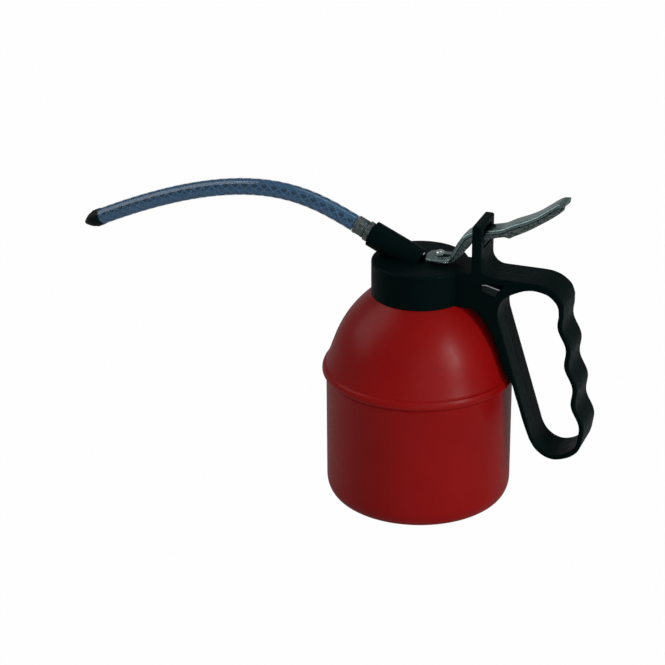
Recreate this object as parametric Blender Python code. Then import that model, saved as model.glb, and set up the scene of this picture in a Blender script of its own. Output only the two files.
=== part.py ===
"""Oil can with a lever pump: can, screw-on pump head, plunger pump and curved hose spout.

Metres, +Z up. The origin is on the can's axis at the base. The handle lies towards +X
and the spout towards -X.
"""

import math

import bmesh
import bpy
from mathutils import Matrix, Vector

# Clearances and detail
seat_gap = 0.0003  # between two pieces that seat on each other
run_gap = 0.00008  # radial, round a shaft or seal that runs in a bore
side_gap = 0.0004  # beside a piece that swings
cut_over = 0.001  # how far a cut runs past its face
sink = 0.0004  # how far a boss starts inside the wall that carries it
round_steps = 48
small_steps = 18
bore_steps = 24
hole_steps = 10
fillet_steps = 6
edge_steps = 4
line_steps = 2  # along each stretch between two points of an outline
ball_columns = 12
ball_rows = 8
smooth_angle = math.radians(35)

# Can body, a moulded cup
can_radius = 0.045
can_wall = 0.0014
base_round_in = 0.005
base_round_up = 0.008
base_corner_steps = 4
base_recess = 0.0010
base_recess_inner = 0.014
base_recess_outer = 0.034
recess_slope = 0.0020
stop_start_z = 0.0608
stop_size = 0.0003  # a low ring that the dome's lip stops on
stop_height = 0.0025
cup_rim_z = 0.0670

# Can dome, a moulded shoulder that laps over the cup
dome_swell = 0.0106  # how much more than the can's radius the arc has
dome_arc_offset = 0.0111  # how far the arc's centre lies past the axis
dome_arc_z = 0.0604
dome_foot_z = 0.0738  # where the arc flows into the bead
dome_wall = 0.0016
dome_arc_steps = 10
dome_inner_steps = 6
bead_stand = 0.0020  # past the cup's wall
bead_z = 0.0662
bead_lead = math.radians(65)  # where the bead's round starts, above its widest place
bead_steps = 7
crease_stand = 0.00075  # past the cup's wall, in the crease over the bead
crease_z = 0.0690
flow_stand = 0.0002
flow_z = 0.0706
flow_steps = 3
neck_radius = 0.0204
neck_wall = 0.0016
neck_top_z = 0.1166

# Cap of the pump head
neck_play = 0.0006
cap_wall = 0.0023
cap_plate = 0.0030
cap_edge_round = 0.0012
gasket_thick = 0.0014

# Plunger and gland, on an axis beside the can's own
plunger_x = 0.0100
rod_radius = 0.0015
rod_spigot_radius = 0.0010
gland_radius = 0.0031
gland_lip = 0.0008
gland_lip_gap = 0.0004
bush_flange_radius = 0.0044
bush_flange_thick = 0.0008
bush_reach = 0.0010
rod_seal_thick = 0.0009
tongue_rise = 0.0031  # over the cap's top
plunger_head_radius = 0.0024
plunger_head_height = 0.0024
plunger_head_edge = 0.0008  # straight, under its dome
plunger_head_bore_depth = 0.0015

# Pump cylinder and its inlet
barrel_radius = 0.0054
barrel_bore = 0.0044
barrel_length = 0.0400
barrel_floor = 0.0035
collar_wall = 0.0014
collar_depth = 0.0080
port_radius = 0.0012
inlet_ball_radius = 0.0016
inlet_pocket_radius = 0.0020
inlet_pocket_depth = 0.0025
inlet_port_radius = 0.0010
inlet_lift = 0.0010
cage_thick = 0.0008
cage_hole_radius = 0.0007
cage_hole_circle = 0.0026
cage_holes = 4
hole_turn = 0.3  # turns a ring of holes by this share of their spacing
cage_gap = 0.0004
spigot_radius = 0.0022
spigot_length = 0.0100

# Suction tube and strainer
tube_bore = 0.0025
tube_wall = 0.0009
tube_foot_z = 0.0095
strainer_wall = 0.0009
strainer_height = 0.0100
strainer_floor_z = 0.0049
strainer_floor = 0.0012
strainer_slot = 0.0013

# Piston, with a ball valve
piston_height = 0.0070
piston_gap = 0.0003
piston_rest_gap = 0.0013
groove_depth = 0.0011
groove_height = 0.0020
groove_up = 0.0023
seal_gap = 0.0001
valve_bore = 0.0020
valve_gap = 0.0004
valve_port_radius = 0.00055
valve_port_circle = 0.0022
valve_ports = 4
piston_ball_radius = 0.0014
piston_ball_lift = 0.0008
nut_thick = 0.0012
nut_hole_radius = 0.0009

# Return spring
spring_wire_radius = 0.00035
spring_coil_radius = 0.0032
spring_turns = 7
spring_turn_points = 8

# Spout boss, on a slope
boss_radius = 0.0064
boss_slope = math.radians(25)
boss_set_back = 0.0104  # from the plunger's axis to the boss's inner end
boss_set_down = 0.0016  # from the cap's top to the boss's inner end
boss_length = 0.0265
boss_edge = 0.0006
socket_radius = 0.0032
socket_depth = 0.0090
rib_half = 0.0026
rib_below = 0.0031
plug_radius = 0.0014
plug_rise = 0.0043
plug_sink = 0.0003

# Spout fitting, hose and nozzle
nipple_collar_radius = 0.0050
nipple_collar_length = 0.0026
nipple_shank_radius = 0.0029
nipple_shank_length = 0.0070
nipple_bore = 0.0011
nipple_seal_thick = 0.0011
barb_length = 0.0100
ferrule_radius = 0.00445
ferrule_length = 0.0056
hose_radius = 0.00415
hose_wall = 0.0019
hose_reach = 0.1456  # from the boss's face
hose_fall = 0.0116
hose_end_slope = math.radians(25.9)
hose_start_pull = 0.0267
hose_end_pull = 0.0956
hose_rings = 28
hose_sides = 12
nozzle_radius = 0.00425
nozzle_length = 0.0070
nozzle_tip_radius = 0.0008
nozzle_step = 0.0006  # length of the straight edge against the hose
nozzle_lip_radius = 0.00395
nozzle_stem_length = 0.0110
nozzle_bore = 0.0007
nozzle_swell = 1.7  # how full the nose is, 1 for a straight cone
nose_steps = 5

# Handle moulding
post_x = 0.0284
post_thick = 0.0046
post_height = 0.0240
handle_width = 0.0210
handle_reach = 0.0565
handle_drop = 0.0898
handle_edge = 0.0008
arm_step = 0.0008
post_fillet = 0.0065
web_thick = 0.0050
root_depth = 0.0184
root_sink = 0.00005  # the root's top under the cap's
grip_top_drop = 0.0156  # under the cap's top
grip_height = 0.0600
grip_set = 0.0434  # from the post to the band's centre at its top, before the wave
grip_lean = 0.199
grip_wave = 0.0012
grip_wave_length = 0.01955
grip_wave_lead = 0.0157
grip_thick = 0.00245
wave_steps = 26
corner_steps = 3
edge_turn = math.radians(60)  # an edge that turns more than this is rounded
edge_segments = 2

# Lever, pressed from sheet
pin_rise = 0.0167  # over the cap's top
pin_radius = 0.0015
pin_wall = 0.0020  # closes the pin's hole on its near side
lever_sheet = 0.0012
lever_half = 0.0056
tongue_half = 0.0065
lever_bend = 0.0011
lever_crown = 0.00015
lever_reach = 0.0415
lever_rise = 0.0217
window_below = 0.0049
window_above = 0.0049
slot_front = 0.0018
slot_rear = 0.0055

# Outlines of the handle, as shares of handle_reach past the post's front face and of
# handle_drop below the cap's top
gusset_shares = (
    (0.000, 0.196), (0.088, 0.236), (0.177, 0.317), (0.241, 0.408),
    (0.299, 0.518), (0.371, 0.594), (0.402, 0.655), (0.437, 0.722),
    (0.469, 0.787), (0.502, 0.846),
)
foot_shares = (
    (0.536, 0.901), (0.582, 0.947), (0.641, 0.979), (0.706, 0.997),
    (0.772, 0.999), (0.848, 0.985), (0.913, 0.962), (0.964, 0.928), (0.990, 0.881),
)
hole_foot_shares = (
    (0.951, 0.875), (0.933, 0.908), (0.890, 0.938), (0.828, 0.963),
    (0.758, 0.976), (0.701, 0.973), (0.646, 0.958), (0.593, 0.928),
    (0.557, 0.888), (0.534, 0.843),
)
hole_top_shares = (
    (0.241, 0.244), (0.234, 0.205), (0.243, 0.166), (0.272, 0.128),
    (0.329, 0.096), (0.395, 0.073), (0.462, 0.056), (0.529, 0.049),
    (0.596, 0.053), (0.665, 0.067), (0.726, 0.102), (0.749, 0.134),
)
corner_shares = (
    (0.620, 0.0145), (0.690, 0.031), (0.764, 0.069), (0.797, 0.120),
)
pocket_shares = ((0.087, 0.040), (0.087, 0.091), (0.214, 0.116), (0.235, 0.080), (0.290, 0.040))

# Stations of the lever's front, from the tongue's tip to the pin: top and bottom points
# as shares of the distance from the pin to the plunger and of the drop to the tongue,
# and the width as a share of the tongue's
front_shares = (
    ((-1.314, -1.015), (-1.314, -1.114), 0.45), ((-1.285, -1.010), (-1.285, -1.109), 0.76),
    ((-1.235, -1.005), (-1.235, -1.104), 0.94), ((-1.150, -1.000), (-1.150, -1.099), 1.00),
    ((-0.976, -1.000), (-0.971, -1.099), 1.00), ((-0.845, -1.000), (-0.821, -1.099), 1.00),
    ((-0.768, -0.974), (-0.710, -1.088), 0.86), ((-0.710, -0.893), (-0.614, -1.022), 0.86),
    ((-0.662, -0.750), (-0.527, -0.860), 0.86), ((-0.585, -0.537), (-0.425, -0.684), 0.86),
    ((-0.488, -0.279), (-0.324, -0.434), 0.86), ((-0.372, -0.044), (-0.246, -0.294), 0.86),
    ((-0.266, 0.100), (-0.188, -0.257), 0.86), ((-0.135, 0.196), (-0.111, -0.272), 0.86),
)
# Stations of the lever's rear, from the pin to the tip, as shares of lever_reach and
# lever_rise
rear_shares = (
    ((0.000, 0.152), (0.000, -0.175)), ((0.070, 0.171), (0.060, -0.152)),
    ((0.130, 0.192), (0.120, -0.010)), ((0.243, 0.249), (0.272, 0.083)),
    ((0.320, 0.327), (0.342, 0.074)), ((0.373, 0.382), (0.400, 0.134)),
    ((0.528, 0.516), (0.561, 0.304)), ((0.646, 0.645), (0.696, 0.475)),
    ((0.766, 0.816), (0.812, 0.631)), ((0.882, 0.972), (0.901, 0.765)),
    ((0.970, 1.000), (0.960, 0.876)),
)
# Places that follow from the sizes
lap_radius = can_radius + seat_gap
lip_foot_z = stop_start_z + stop_height + seat_gap
dome_arc_radius = can_radius + dome_swell
bead_radius = can_radius + bead_stand
neck_bore = neck_radius - neck_wall
cap_bore = neck_radius + neck_play
cap_radius = cap_bore + cap_wall
plate_z = neck_top_z + gasket_thick + 2 * seat_gap
cap_top_z = plate_z + cap_plate
tongue_top_z = cap_top_z + tongue_rise
barrel_top_z = plate_z - seat_gap
barrel_foot_z = barrel_top_z - barrel_length
barrel_floor_z = barrel_foot_z + barrel_floor
collar_bore = barrel_radius + seat_gap
collar_radius = collar_bore + collar_wall
gland_bore = gland_radius + seat_gap
gland_floor_z = plate_z + gland_lip
seat_reach = inlet_ball_radius + seat_gap
inlet_seat_z = barrel_floor_z - inlet_pocket_depth
inlet_ball_z = inlet_seat_z + math.sqrt(seat_reach ** 2 - inlet_port_radius ** 2)
cage_z = inlet_ball_z + inlet_ball_radius + inlet_lift + cage_gap
piston_foot_z = cage_z + cage_thick + piston_rest_gap
piston_top_z = piston_foot_z + piston_height
piston_radius = barrel_bore - piston_gap
nut_seat_rise = math.sqrt((piston_ball_radius + seat_gap) ** 2 - nut_hole_radius ** 2)
valve_depth = nut_thick + nut_seat_rise + piston_ball_radius + piston_ball_lift + valve_gap
tube_radius = tube_bore + tube_wall
tube_top_z = barrel_foot_z - seat_gap
pin_x = post_x + post_thick / 2
pin_z = cap_top_z + pin_rise
front_reach = pin_x - plunger_x
front_drop = pin_z - tongue_top_z
hose_bore = hose_radius - hose_wall
stem_radius = hose_bore - seat_gap
boss_dir = Vector((-math.cos(boss_slope), 0, math.sin(boss_slope)))
boss_up = Vector((math.sin(boss_slope), 0, math.cos(boss_slope)))
boss_end = Vector((plunger_x - boss_set_back, 0, cap_top_z - boss_set_down))
boss_face = boss_end + boss_dir * boss_length
hose_end = boss_face - Vector((hose_reach, 0, hose_fall))
channel_length = (plunger_x - barrel_bore - boss_face.x) / math.cos(boss_slope)
channel_end = boss_face - boss_dir * channel_length
nozzle_dir = Vector((-math.cos(hose_end_slope), 0, -math.sin(hose_end_slope)))
handle_half = handle_width / 2


def material(name, colour, roughness, metallic=0.0, alpha=1.0):
    made = bpy.data.materials.new(name)
    made.use_nodes = True
    shader = made.node_tree.nodes["Principled BSDF"]
    shader.inputs["Base Color"].default_value = (*colour, 1.0)
    shader.inputs["Roughness"].default_value = roughness
    shader.inputs["Metallic"].default_value = metallic
    shader.inputs["Alpha"].default_value = alpha
    made.diffuse_color = (*colour, alpha)
    return made


def add_object(name, form, finish):
    """A named object from a bmesh, with its normals made to face out."""
    bmesh.ops.recalc_face_normals(form, faces=form.faces)
    mesh = bpy.data.meshes.new(name)
    form.to_mesh(mesh)
    form.free()
    mesh.materials.append(finish)
    mesh.shade_smooth()
    mesh.set_sharp_from_angle(angle=smooth_angle)
    made = bpy.data.objects.new(name, mesh)
    bpy.context.collection.objects.link(made)
    return made


def guide(made):
    """A shape that only cuts or joins another one."""
    made.hide_render = True
    made.display_type = "WIRE"
    return made


def combine(target, tool, operation, solver):
    step = target.modifiers.new(f"{operation.lower()} {tool.name}", "BOOLEAN")
    step.operation = operation
    step.object = guide(tool)
    step.solver = solver


def cut(target, tool, solver="EXACT"):
    combine(target, tool, "DIFFERENCE", solver)


def join(target, tool, solver="EXACT"):
    combine(target, tool, "UNION", solver)


def turned_form(profile, steps, lead=0.0):
    """A closed profile of (radius, height) points turned about the local Z axis.

    The first column of points lies lead steps past the local X axis.
    """
    form = bmesh.new()
    rings = []
    for radius, height in profile:
        if radius == 0:
            rings.append([form.verts.new((0, 0, height))] * steps)
            continue
        ring = []
        for i in range(steps):
            angle = math.tau * (i + lead) / steps
            ring.append(form.verts.new((radius * math.cos(angle), radius * math.sin(angle), height)))
        rings.append(ring)
    for k, low in enumerate(rings):
        high = rings[(k + 1) % len(rings)]
        if low[0] is low[1] and high[0] is high[1]:
            continue
        for i in range(steps):
            j = (i + 1) % steps
            corners = []
            for corner in (low[i], low[j], high[j], high[i]):
                if corner not in corners:
                    corners.append(corner)
            form.faces.new(corners)
    return form


def turned(name, profile, finish, steps=round_steps, x=0.0):
    """A turned piece on a vertical axis at x."""
    made = add_object(name, turned_form(profile, steps), finish)
    made.location = (x, 0, 0)
    return made


def turned_at(name, profile, finish, place, direction, steps=small_steps):
    """A turned piece whose local Z axis starts at place and points along direction."""
    made = add_object(name, turned_form(profile, steps, 0.5), finish)
    made.rotation_euler = direction.to_track_quat("Z", "Y").to_euler()
    made.location = place
    return made


def rod_profile(radius, low, high):
    return [(0, low), (radius, low), (radius, high), (0, high)]


def ring_profile(inner, outer, low, high):
    return [(inner, low), (outer, low), (outer, high), (inner, high)]


def prism(name, outline, low, high, finish):
    """An outline of (x, z) points, drawn out along Y from low to high."""
    form = bmesh.new()
    near = [form.verts.new((x, low, z)) for x, z in outline]
    far = [form.verts.new((x, high, z)) for x, z in outline]
    form.faces.new(near)
    form.faces.new(reversed(far))
    for i in range(len(outline)):
        j = (i + 1) % len(outline)
        form.faces.new((near[i], far[i], far[j], near[j]))
    return add_object(name, form, finish)


def block(name, low, high, finish):
    """A box between two corners."""
    outline = [(low[0], low[2]), (high[0], low[2]), (high[0], high[2]), (low[0], high[2])]
    return prism(name, outline, low[1], high[1], finish)


def arc(centre_x, centre_z, radius, start, end, steps):
    """Points on an arc, with both its ends, angles in radians."""
    points = []
    for i in range(steps + 1):
        angle = start + (end - start) * i / steps
        points.append((centre_x + radius * math.cos(angle), centre_z + radius * math.sin(angle)))
    return points


def smooth_line(points, steps):
    """A smooth curve through points, each a tuple of numbers, by Catmull and Rom."""
    padded = [points[0], *points, points[-1]]
    line = []
    for k in range(1, len(padded) - 2):
        before, start, end, after = padded[k - 1:k + 3]
        for i in range(steps):
            t = i / steps
            line.append(tuple(
                (2 * b + (c - a) * t + (2 * a - 5 * b + 4 * c - d) * t ** 2
                 + (3 * b - 3 * c + d - a) * t ** 3) / 2
                for a, b, c, d in zip(before, start, end, after)
            ))
    line.append(tuple(points[-1]))
    return line


def dome_radius_at(height, offset):
    """The radius of the dome's arc, moved out by offset, at a height."""
    rise = height - dome_arc_z
    return math.sqrt((dome_arc_radius + offset) ** 2 - rise ** 2) - dome_arc_offset


def dome_height_at(radius, offset):
    """The height of the dome's arc, moved out by offset, at a radius."""
    reach = radius + dome_arc_offset
    return math.sqrt((dome_arc_radius + offset) ** 2 - reach ** 2) + dome_arc_z


def dome_arc(radius_top, height_foot, offset, steps):
    """The dome's arc from its top, at radius_top, down to height_foot."""
    top = dome_height_at(radius_top, offset)
    foot_radius = dome_radius_at(height_foot, offset)
    start = math.atan2(top - dome_arc_z, radius_top + dome_arc_offset)
    end = math.atan2(height_foot - dome_arc_z, foot_radius + dome_arc_offset)
    return arc(-dome_arc_offset, dome_arc_z, dome_arc_radius + offset, start, end, steps)


def make_can_body(finish):
    corner = []
    for i in range(base_corner_steps + 1):
        angle = math.pi / 2 * i / base_corner_steps
        corner.append((
            can_radius - base_round_in * (1 - math.sin(angle)),
            base_round_up * (1 - math.cos(angle)),
        ))
    inner_corner = [
        (radius - can_wall * math.sin(math.pi / 2 * i / base_corner_steps),
         height + can_wall * (1 - i / base_corner_steps))
        for i, (radius, height) in enumerate(corner)
    ]
    stop_top_z = stop_start_z + stop_height
    profile = [(0, 0), (base_recess_inner - recess_slope, 0), (base_recess_inner, base_recess)]
    profile += [(base_recess_outer, base_recess), (base_recess_outer + recess_slope, 0)]
    profile += corner
    profile += [
        (can_radius, stop_start_z),
        (can_radius + stop_size, stop_start_z + stop_height / 2),
        (can_radius + stop_size, stop_top_z),
        (can_radius, stop_top_z),
        (can_radius, cup_rim_z),
        (can_radius - can_wall, cup_rim_z),
    ]
    profile += reversed(inner_corner)
    profile += [(base_recess_outer + recess_slope, can_wall), (base_recess_outer, base_recess + can_wall)]
    profile += [(base_recess_inner, base_recess + can_wall)]
    profile += [(base_recess_inner - recess_slope, can_wall), (0, can_wall)]
    return turned("can_body", profile, finish)


def make_can_dome(finish):
    """The shoulder: neck, arc, crease and a round bead whose lower end laps over the cup."""
    outer = dome_arc(neck_radius, dome_foot_z, 0, dome_arc_steps)
    flow = smooth_line([
        outer[-1], (can_radius + flow_stand, flow_z), (can_radius + crease_stand, crease_z),
    ], flow_steps)[1:]
    bead = []
    for i in range(bead_steps + 1):
        angle = bead_lead - (bead_lead + math.pi / 2) * i / bead_steps
        bead.append((
            lap_radius + (bead_radius - lap_radius) * math.cos(angle),
            bead_z + (bead_z - lip_foot_z) * math.sin(angle),
        ))
    profile = [(neck_radius, neck_top_z)] + outer + flow + bead
    profile += [(lap_radius, cup_rim_z + seat_gap)]
    inner_foot_z = dome_foot_z - dome_wall
    profile += [(dome_radius_at(inner_foot_z, -dome_wall) + dome_wall, inner_foot_z - dome_wall / 2)]
    profile += reversed(dome_arc(neck_bore, inner_foot_z, -dome_wall, dome_inner_steps))
    profile += [(neck_bore, neck_top_z)]
    return turned("can_dome", profile, finish)


def make_gasket(finish):
    low = neck_top_z + seat_gap
    return turned("neck_gasket", ring_profile(neck_bore, neck_radius, low, low + gasket_thick), finish)


def handle_point(share):
    """A point of the handle from its shares."""
    return post_x + handle_reach * share[0], cap_top_z - handle_drop * share[1]


def grip_line(side, steps):
    """The wavy band's outer (side 1) or inner (side -1) line, from its top to its foot."""
    points = []
    for i in range(steps + 1):
        below = grip_height * i / steps
        wave = grip_wave * math.cos(math.tau * (below - grip_wave_lead) / grip_wave_length)
        centre = post_x + grip_set + grip_lean * below + wave
        points.append((centre + side * grip_thick / 2, cap_top_z - grip_top_drop - below))
    return points


def make_handle(finish):
    """Post, root, arm, grip, foot, strap and gusset in one outline with the hand hole."""
    arm_z = cap_top_z - arm_step
    rear_x = post_x + post_thick
    outline = [(0, cap_top_z - root_depth), (0, cap_top_z - root_sink)]
    outline += [(post_x, cap_top_z - root_sink), (post_x, cap_top_z + post_height)]
    outline += [(rear_x, cap_top_z + post_height)]
    outline += arc(rear_x + post_fillet, arm_z + post_fillet, post_fillet, math.pi, math.pi * 1.5,
                   fillet_steps)
    corner = [handle_point(share) for share in corner_shares]
    outline += smooth_line([(corner[0][0] - arm_step, arm_z), *corner], corner_steps)
    outline += grip_line(1, wave_steps)
    foot = [handle_point(share) for share in reversed(foot_shares)]
    outline += smooth_line(foot, line_steps)
    gusset = [handle_point(share) for share in reversed(gusset_shares)]
    outline += smooth_line(gusset, line_steps)
    body = prism("handle_guide", outline, -handle_half, handle_half, finish)
    hole = smooth_line([handle_point(share) for share in hole_top_shares], line_steps)
    hole += grip_line(-1, wave_steps)
    hole += smooth_line([handle_point(share) for share in hole_foot_shares], line_steps)
    cut(body, prism("hand_hole", hole, -handle_half - cut_over, handle_half + cut_over, finish))
    rounded = body.modifiers.new("edges", "BEVEL")
    rounded.width = handle_edge
    rounded.segments = edge_segments
    rounded.limit_method = "ANGLE"
    rounded.angle_limit = edge_turn
    rounded.use_clamp_overlap = False
    return body


def make_head(finish):
    """The head's one moulding. Its sloped channel meets round walls, where the EXACT
    solver leaves open edges, so its closed shapes are combined by MANIFOLD.
    """
    cap_profile = [(0, dome_arc_z), (cap_radius, dome_arc_z), (cap_radius, cap_top_z - cap_edge_round)]
    cap_profile += arc(
        cap_radius - cap_edge_round, cap_top_z - cap_edge_round, cap_edge_round, 0, math.pi / 2,
        edge_steps,
    )[1:]
    cap_profile += [(0, cap_top_z)]
    head = turned("pump_head", cap_profile, finish)
    join(head, make_handle(finish))

    boss_profile = [(0, 0), (boss_radius, 0), (boss_radius, boss_length - boss_edge)]
    boss_profile += [(boss_radius - boss_edge, boss_length), (0, boss_length)]
    join(head, turned_at("boss_guide", boss_profile, finish, boss_end, boss_dir, bore_steps), "MANIFOLD")
    plug_place = boss_end + boss_up * plug_rise + boss_dir * plug_sink
    cut(head, ball("plug_cut", plug_radius + seat_gap, finish, plug_place), "MANIFOLD")

    hollow = [(0, plate_z), (0, 0), (dome_radius_at(dome_foot_z, seat_gap), 0)]
    hollow += reversed(dome_arc(cap_bore, dome_foot_z, seat_gap, dome_arc_steps))
    hollow += [(cap_bore, plate_z)]
    cut(head, turned("cap_hollow", hollow, finish), "MANIFOLD")

    collar = rod_profile(collar_radius, plate_z - collar_depth, plate_z + sink)
    join(head, turned("collar_guide", collar, finish, bore_steps, plunger_x), "MANIFOLD")
    rib_end_x = plunger_x - barrel_radius
    rib_foot_z = boss_face.z - (rib_end_x - boss_face.x) * math.tan(boss_slope) - rib_below
    rib_top_z = plate_z + sink
    rib_start_x = rib_end_x - (rib_top_z - rib_foot_z) / math.tan(boss_slope)
    rib = [(rib_start_x, rib_top_z), (rib_end_x, rib_top_z), (rib_end_x, rib_foot_z)]
    join(head, prism("channel_rib", rib, -rib_half, rib_half, finish), "MANIFOLD")

    bore = rod_profile(collar_bore, plate_z - collar_depth - cut_over, plate_z)
    cut(head, turned("barrel_seat", bore, finish, bore_steps, plunger_x), "MANIFOLD")
    gland = [(0, plate_z - cut_over), (rod_radius + gland_lip_gap, plate_z - cut_over)]
    gland += [(rod_radius + gland_lip_gap, gland_floor_z), (gland_bore, gland_floor_z)]
    gland += [(gland_bore, cap_top_z + cut_over), (0, cap_top_z + cut_over)]
    cut(head, turned("gland_cut", gland, finish, bore_steps, plunger_x), "MANIFOLD")

    socket = [(0, 0), (port_radius, 0), (port_radius, channel_length - socket_depth)]
    socket += [(socket_radius, channel_length - socket_depth), (socket_radius, channel_length + cut_over)]
    socket += [(0, channel_length + cut_over)]
    cut(head, turned_at("channel_cut", socket, finish, channel_end, boss_dir), "MANIFOLD")

    window_half = lever_half + side_gap
    cut(head, block(
        "lever_window",
        (post_x - cut_over, -window_half, pin_z - window_below),
        (post_x + post_thick + cut_over, window_half, pin_z + window_above),
        finish,
    ), "MANIFOLD")
    pin_cut = rod_profile(pin_radius + seat_gap, pin_wall - handle_half, handle_half + cut_over)
    cut(head, turned_at("pin_cut", pin_cut, finish, (pin_x, 0, pin_z), Vector((0, 1, 0))),
        "MANIFOLD")
    pocket = [handle_point(share) for share in pocket_shares]
    for side, name in ((-1, "near_pocket"), (1, "far_pocket")):
        ends = sorted((side * web_thick / 2, side * (handle_half + cut_over)))
        cut(head, prism(name, pocket, ends[0], ends[1], finish), "MANIFOLD")
    return head


def make_gland(bush_finish, seal_finish):
    seal_low = gland_floor_z + seat_gap
    seal_high = seal_low + rod_seal_thick
    rod_bore = rod_radius + run_gap
    flange_z = cap_top_z + seat_gap
    profile = [(rod_bore, flange_z - bush_reach), (gland_radius, flange_z - bush_reach)]
    profile += [(gland_radius, flange_z), (bush_flange_radius, flange_z)]
    profile += [(bush_flange_radius, flange_z + bush_flange_thick), (rod_bore, flange_z + bush_flange_thick)]
    turned("gland_bush", profile, bush_finish, bore_steps, plunger_x)
    turned("rod_seal", ring_profile(rod_bore, gland_radius, seal_low, seal_high), seal_finish,
           bore_steps, plunger_x)


def make_barrel(finish):
    profile = [
        (inlet_port_radius, barrel_foot_z - spigot_length),
        (spigot_radius, barrel_foot_z - spigot_length),
        (spigot_radius, barrel_foot_z),
        (barrel_radius, barrel_foot_z),
        (barrel_radius, barrel_top_z),
        (barrel_bore, barrel_top_z),
        (barrel_bore, barrel_floor_z),
        (inlet_pocket_radius, barrel_floor_z),
        (inlet_pocket_radius, inlet_seat_z),
        (inlet_port_radius, inlet_seat_z),
    ]
    barrel = turned("pump_cylinder", profile, finish, bore_steps, plunger_x)
    port = rod_profile(port_radius, -barrel_bore / 2, barrel_bore)
    cut(barrel, turned_at("barrel_port", port, finish, channel_end, boss_dir))
    return barrel


def ball(name, radius, finish, place):
    form = bmesh.new()
    bmesh.ops.create_uvsphere(form, u_segments=ball_columns, v_segments=ball_rows, radius=radius)
    made = add_object(name, form, finish)
    made.location = place
    return made


def ring_of_holes(target, name, radius, circle, low, high, count, finish, x):
    for i in range(count):
        angle = math.tau * (i + hole_turn) / count
        hole = turned(f"{name}_{i + 1}", rod_profile(radius, low, high), finish, hole_steps)
        hole.location = (x + circle * math.cos(angle), circle * math.sin(angle), 0)
        cut(target, hole)


def make_inlet(ball_finish, cage_finish):
    ball("inlet_ball", inlet_ball_radius, ball_finish, (plunger_x, 0, inlet_ball_z))
    cage_profile = ring_profile(cage_hole_radius, barrel_bore - seat_gap, cage_z, cage_z + cage_thick)
    cage = turned("inlet_cage", cage_profile, cage_finish, small_steps, plunger_x)
    ring_of_holes(cage, "cage_hole", cage_hole_radius, cage_hole_circle, cage_z - cut_over,
                  cage_z + cage_thick + cut_over, cage_holes, cage_finish, plunger_x)


def make_suction(tube_finish, strainer_finish):
    turned("suction_tube", ring_profile(tube_bore, tube_radius, tube_foot_z, tube_top_z), tube_finish,
           small_steps, plunger_x)
    inner = tube_radius + seat_gap
    outer = inner + strainer_wall
    top = strainer_floor_z + strainer_height
    profile = [(0, strainer_floor_z), (outer, strainer_floor_z), (outer, top), (inner, top)]
    profile += [(inner, strainer_floor_z + strainer_floor), (0, strainer_floor_z + strainer_floor)]
    strainer = turned("foot_strainer", profile, strainer_finish, small_steps, plunger_x)
    low = strainer_floor_z + strainer_floor + seat_gap
    high = tube_foot_z - seat_gap
    half = strainer_slot / 2
    reach = outer + cut_over
    cut(strainer, block("slot_across", (plunger_x - reach, -half, low), (plunger_x + reach, half, high),
                        strainer_finish))
    cut(strainer, block("slot_along", (plunger_x - half, -reach, low), (plunger_x + half, reach, high),
                        strainer_finish))


def make_plunger(rod_finish, piston_finish, seal_finish, ball_finish):
    shoulder_z = tongue_top_z
    head_z = tongue_top_z + seat_gap
    head_bore = rod_spigot_radius + seat_gap
    rod_foot_z = piston_top_z + seat_gap
    spigot_foot_z = piston_foot_z + valve_depth + 2 * seat_gap
    spigot_top_z = head_z + plunger_head_bore_depth - seat_gap
    rod = [(0, spigot_foot_z), (rod_spigot_radius, spigot_foot_z), (rod_spigot_radius, rod_foot_z)]
    rod += [(rod_radius, rod_foot_z), (rod_radius, shoulder_z), (rod_spigot_radius, shoulder_z)]
    rod += [(rod_spigot_radius, spigot_top_z), (0, spigot_top_z)]
    turned("plunger_rod", rod, rod_finish, small_steps, plunger_x)

    bore_top = head_z + plunger_head_bore_depth
    cap = [(head_bore, head_z), (plunger_head_radius, head_z)]
    for i in range(edge_steps + 1):
        angle = math.pi / 2 * i / edge_steps
        cap.append((
            plunger_head_radius * math.cos(angle),
            head_z + plunger_head_edge + (plunger_head_height - plunger_head_edge) * math.sin(angle),
        ))
    cap[-1] = (0, head_z + plunger_head_height)
    cap += [(0, bore_top), (head_bore, bore_top)]
    turned("plunger_head", cap, rod_finish, small_steps, plunger_x)

    groove_low = piston_foot_z + groove_up
    groove_high = groove_low + groove_height
    groove_radius = piston_radius - groove_depth
    spigot_bore = rod_spigot_radius + seat_gap
    valve_top = piston_foot_z + valve_depth
    body = [
        (valve_bore, piston_foot_z), (piston_radius, piston_foot_z), (piston_radius, groove_low),
        (groove_radius, groove_low), (groove_radius, groove_high), (piston_radius, groove_high),
        (piston_radius, piston_top_z), (spigot_bore, piston_top_z), (spigot_bore, valve_top),
        (valve_bore, valve_top),
    ]
    piston = turned("piston", body, piston_finish, bore_steps, plunger_x)
    ring_of_holes(piston, "valve_port", valve_port_radius, valve_port_circle, valve_top - cut_over,
                  piston_top_z + cut_over, valve_ports, piston_finish, plunger_x)
    seal_profile = ring_profile(groove_radius + seat_gap, barrel_bore - seal_gap,
                                groove_low + seat_gap, groove_high - seat_gap)
    turned("piston_seal", seal_profile, seal_finish, bore_steps, plunger_x)
    nut_profile = ring_profile(nut_hole_radius, valve_bore - seat_gap, piston_foot_z,
                               piston_foot_z + nut_thick)
    turned("piston_nut", nut_profile, rod_finish, small_steps, plunger_x)
    ball_z = piston_foot_z + nut_thick + nut_seat_rise
    ball("piston_ball", piston_ball_radius, ball_finish, (plunger_x, 0, ball_z))


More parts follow.
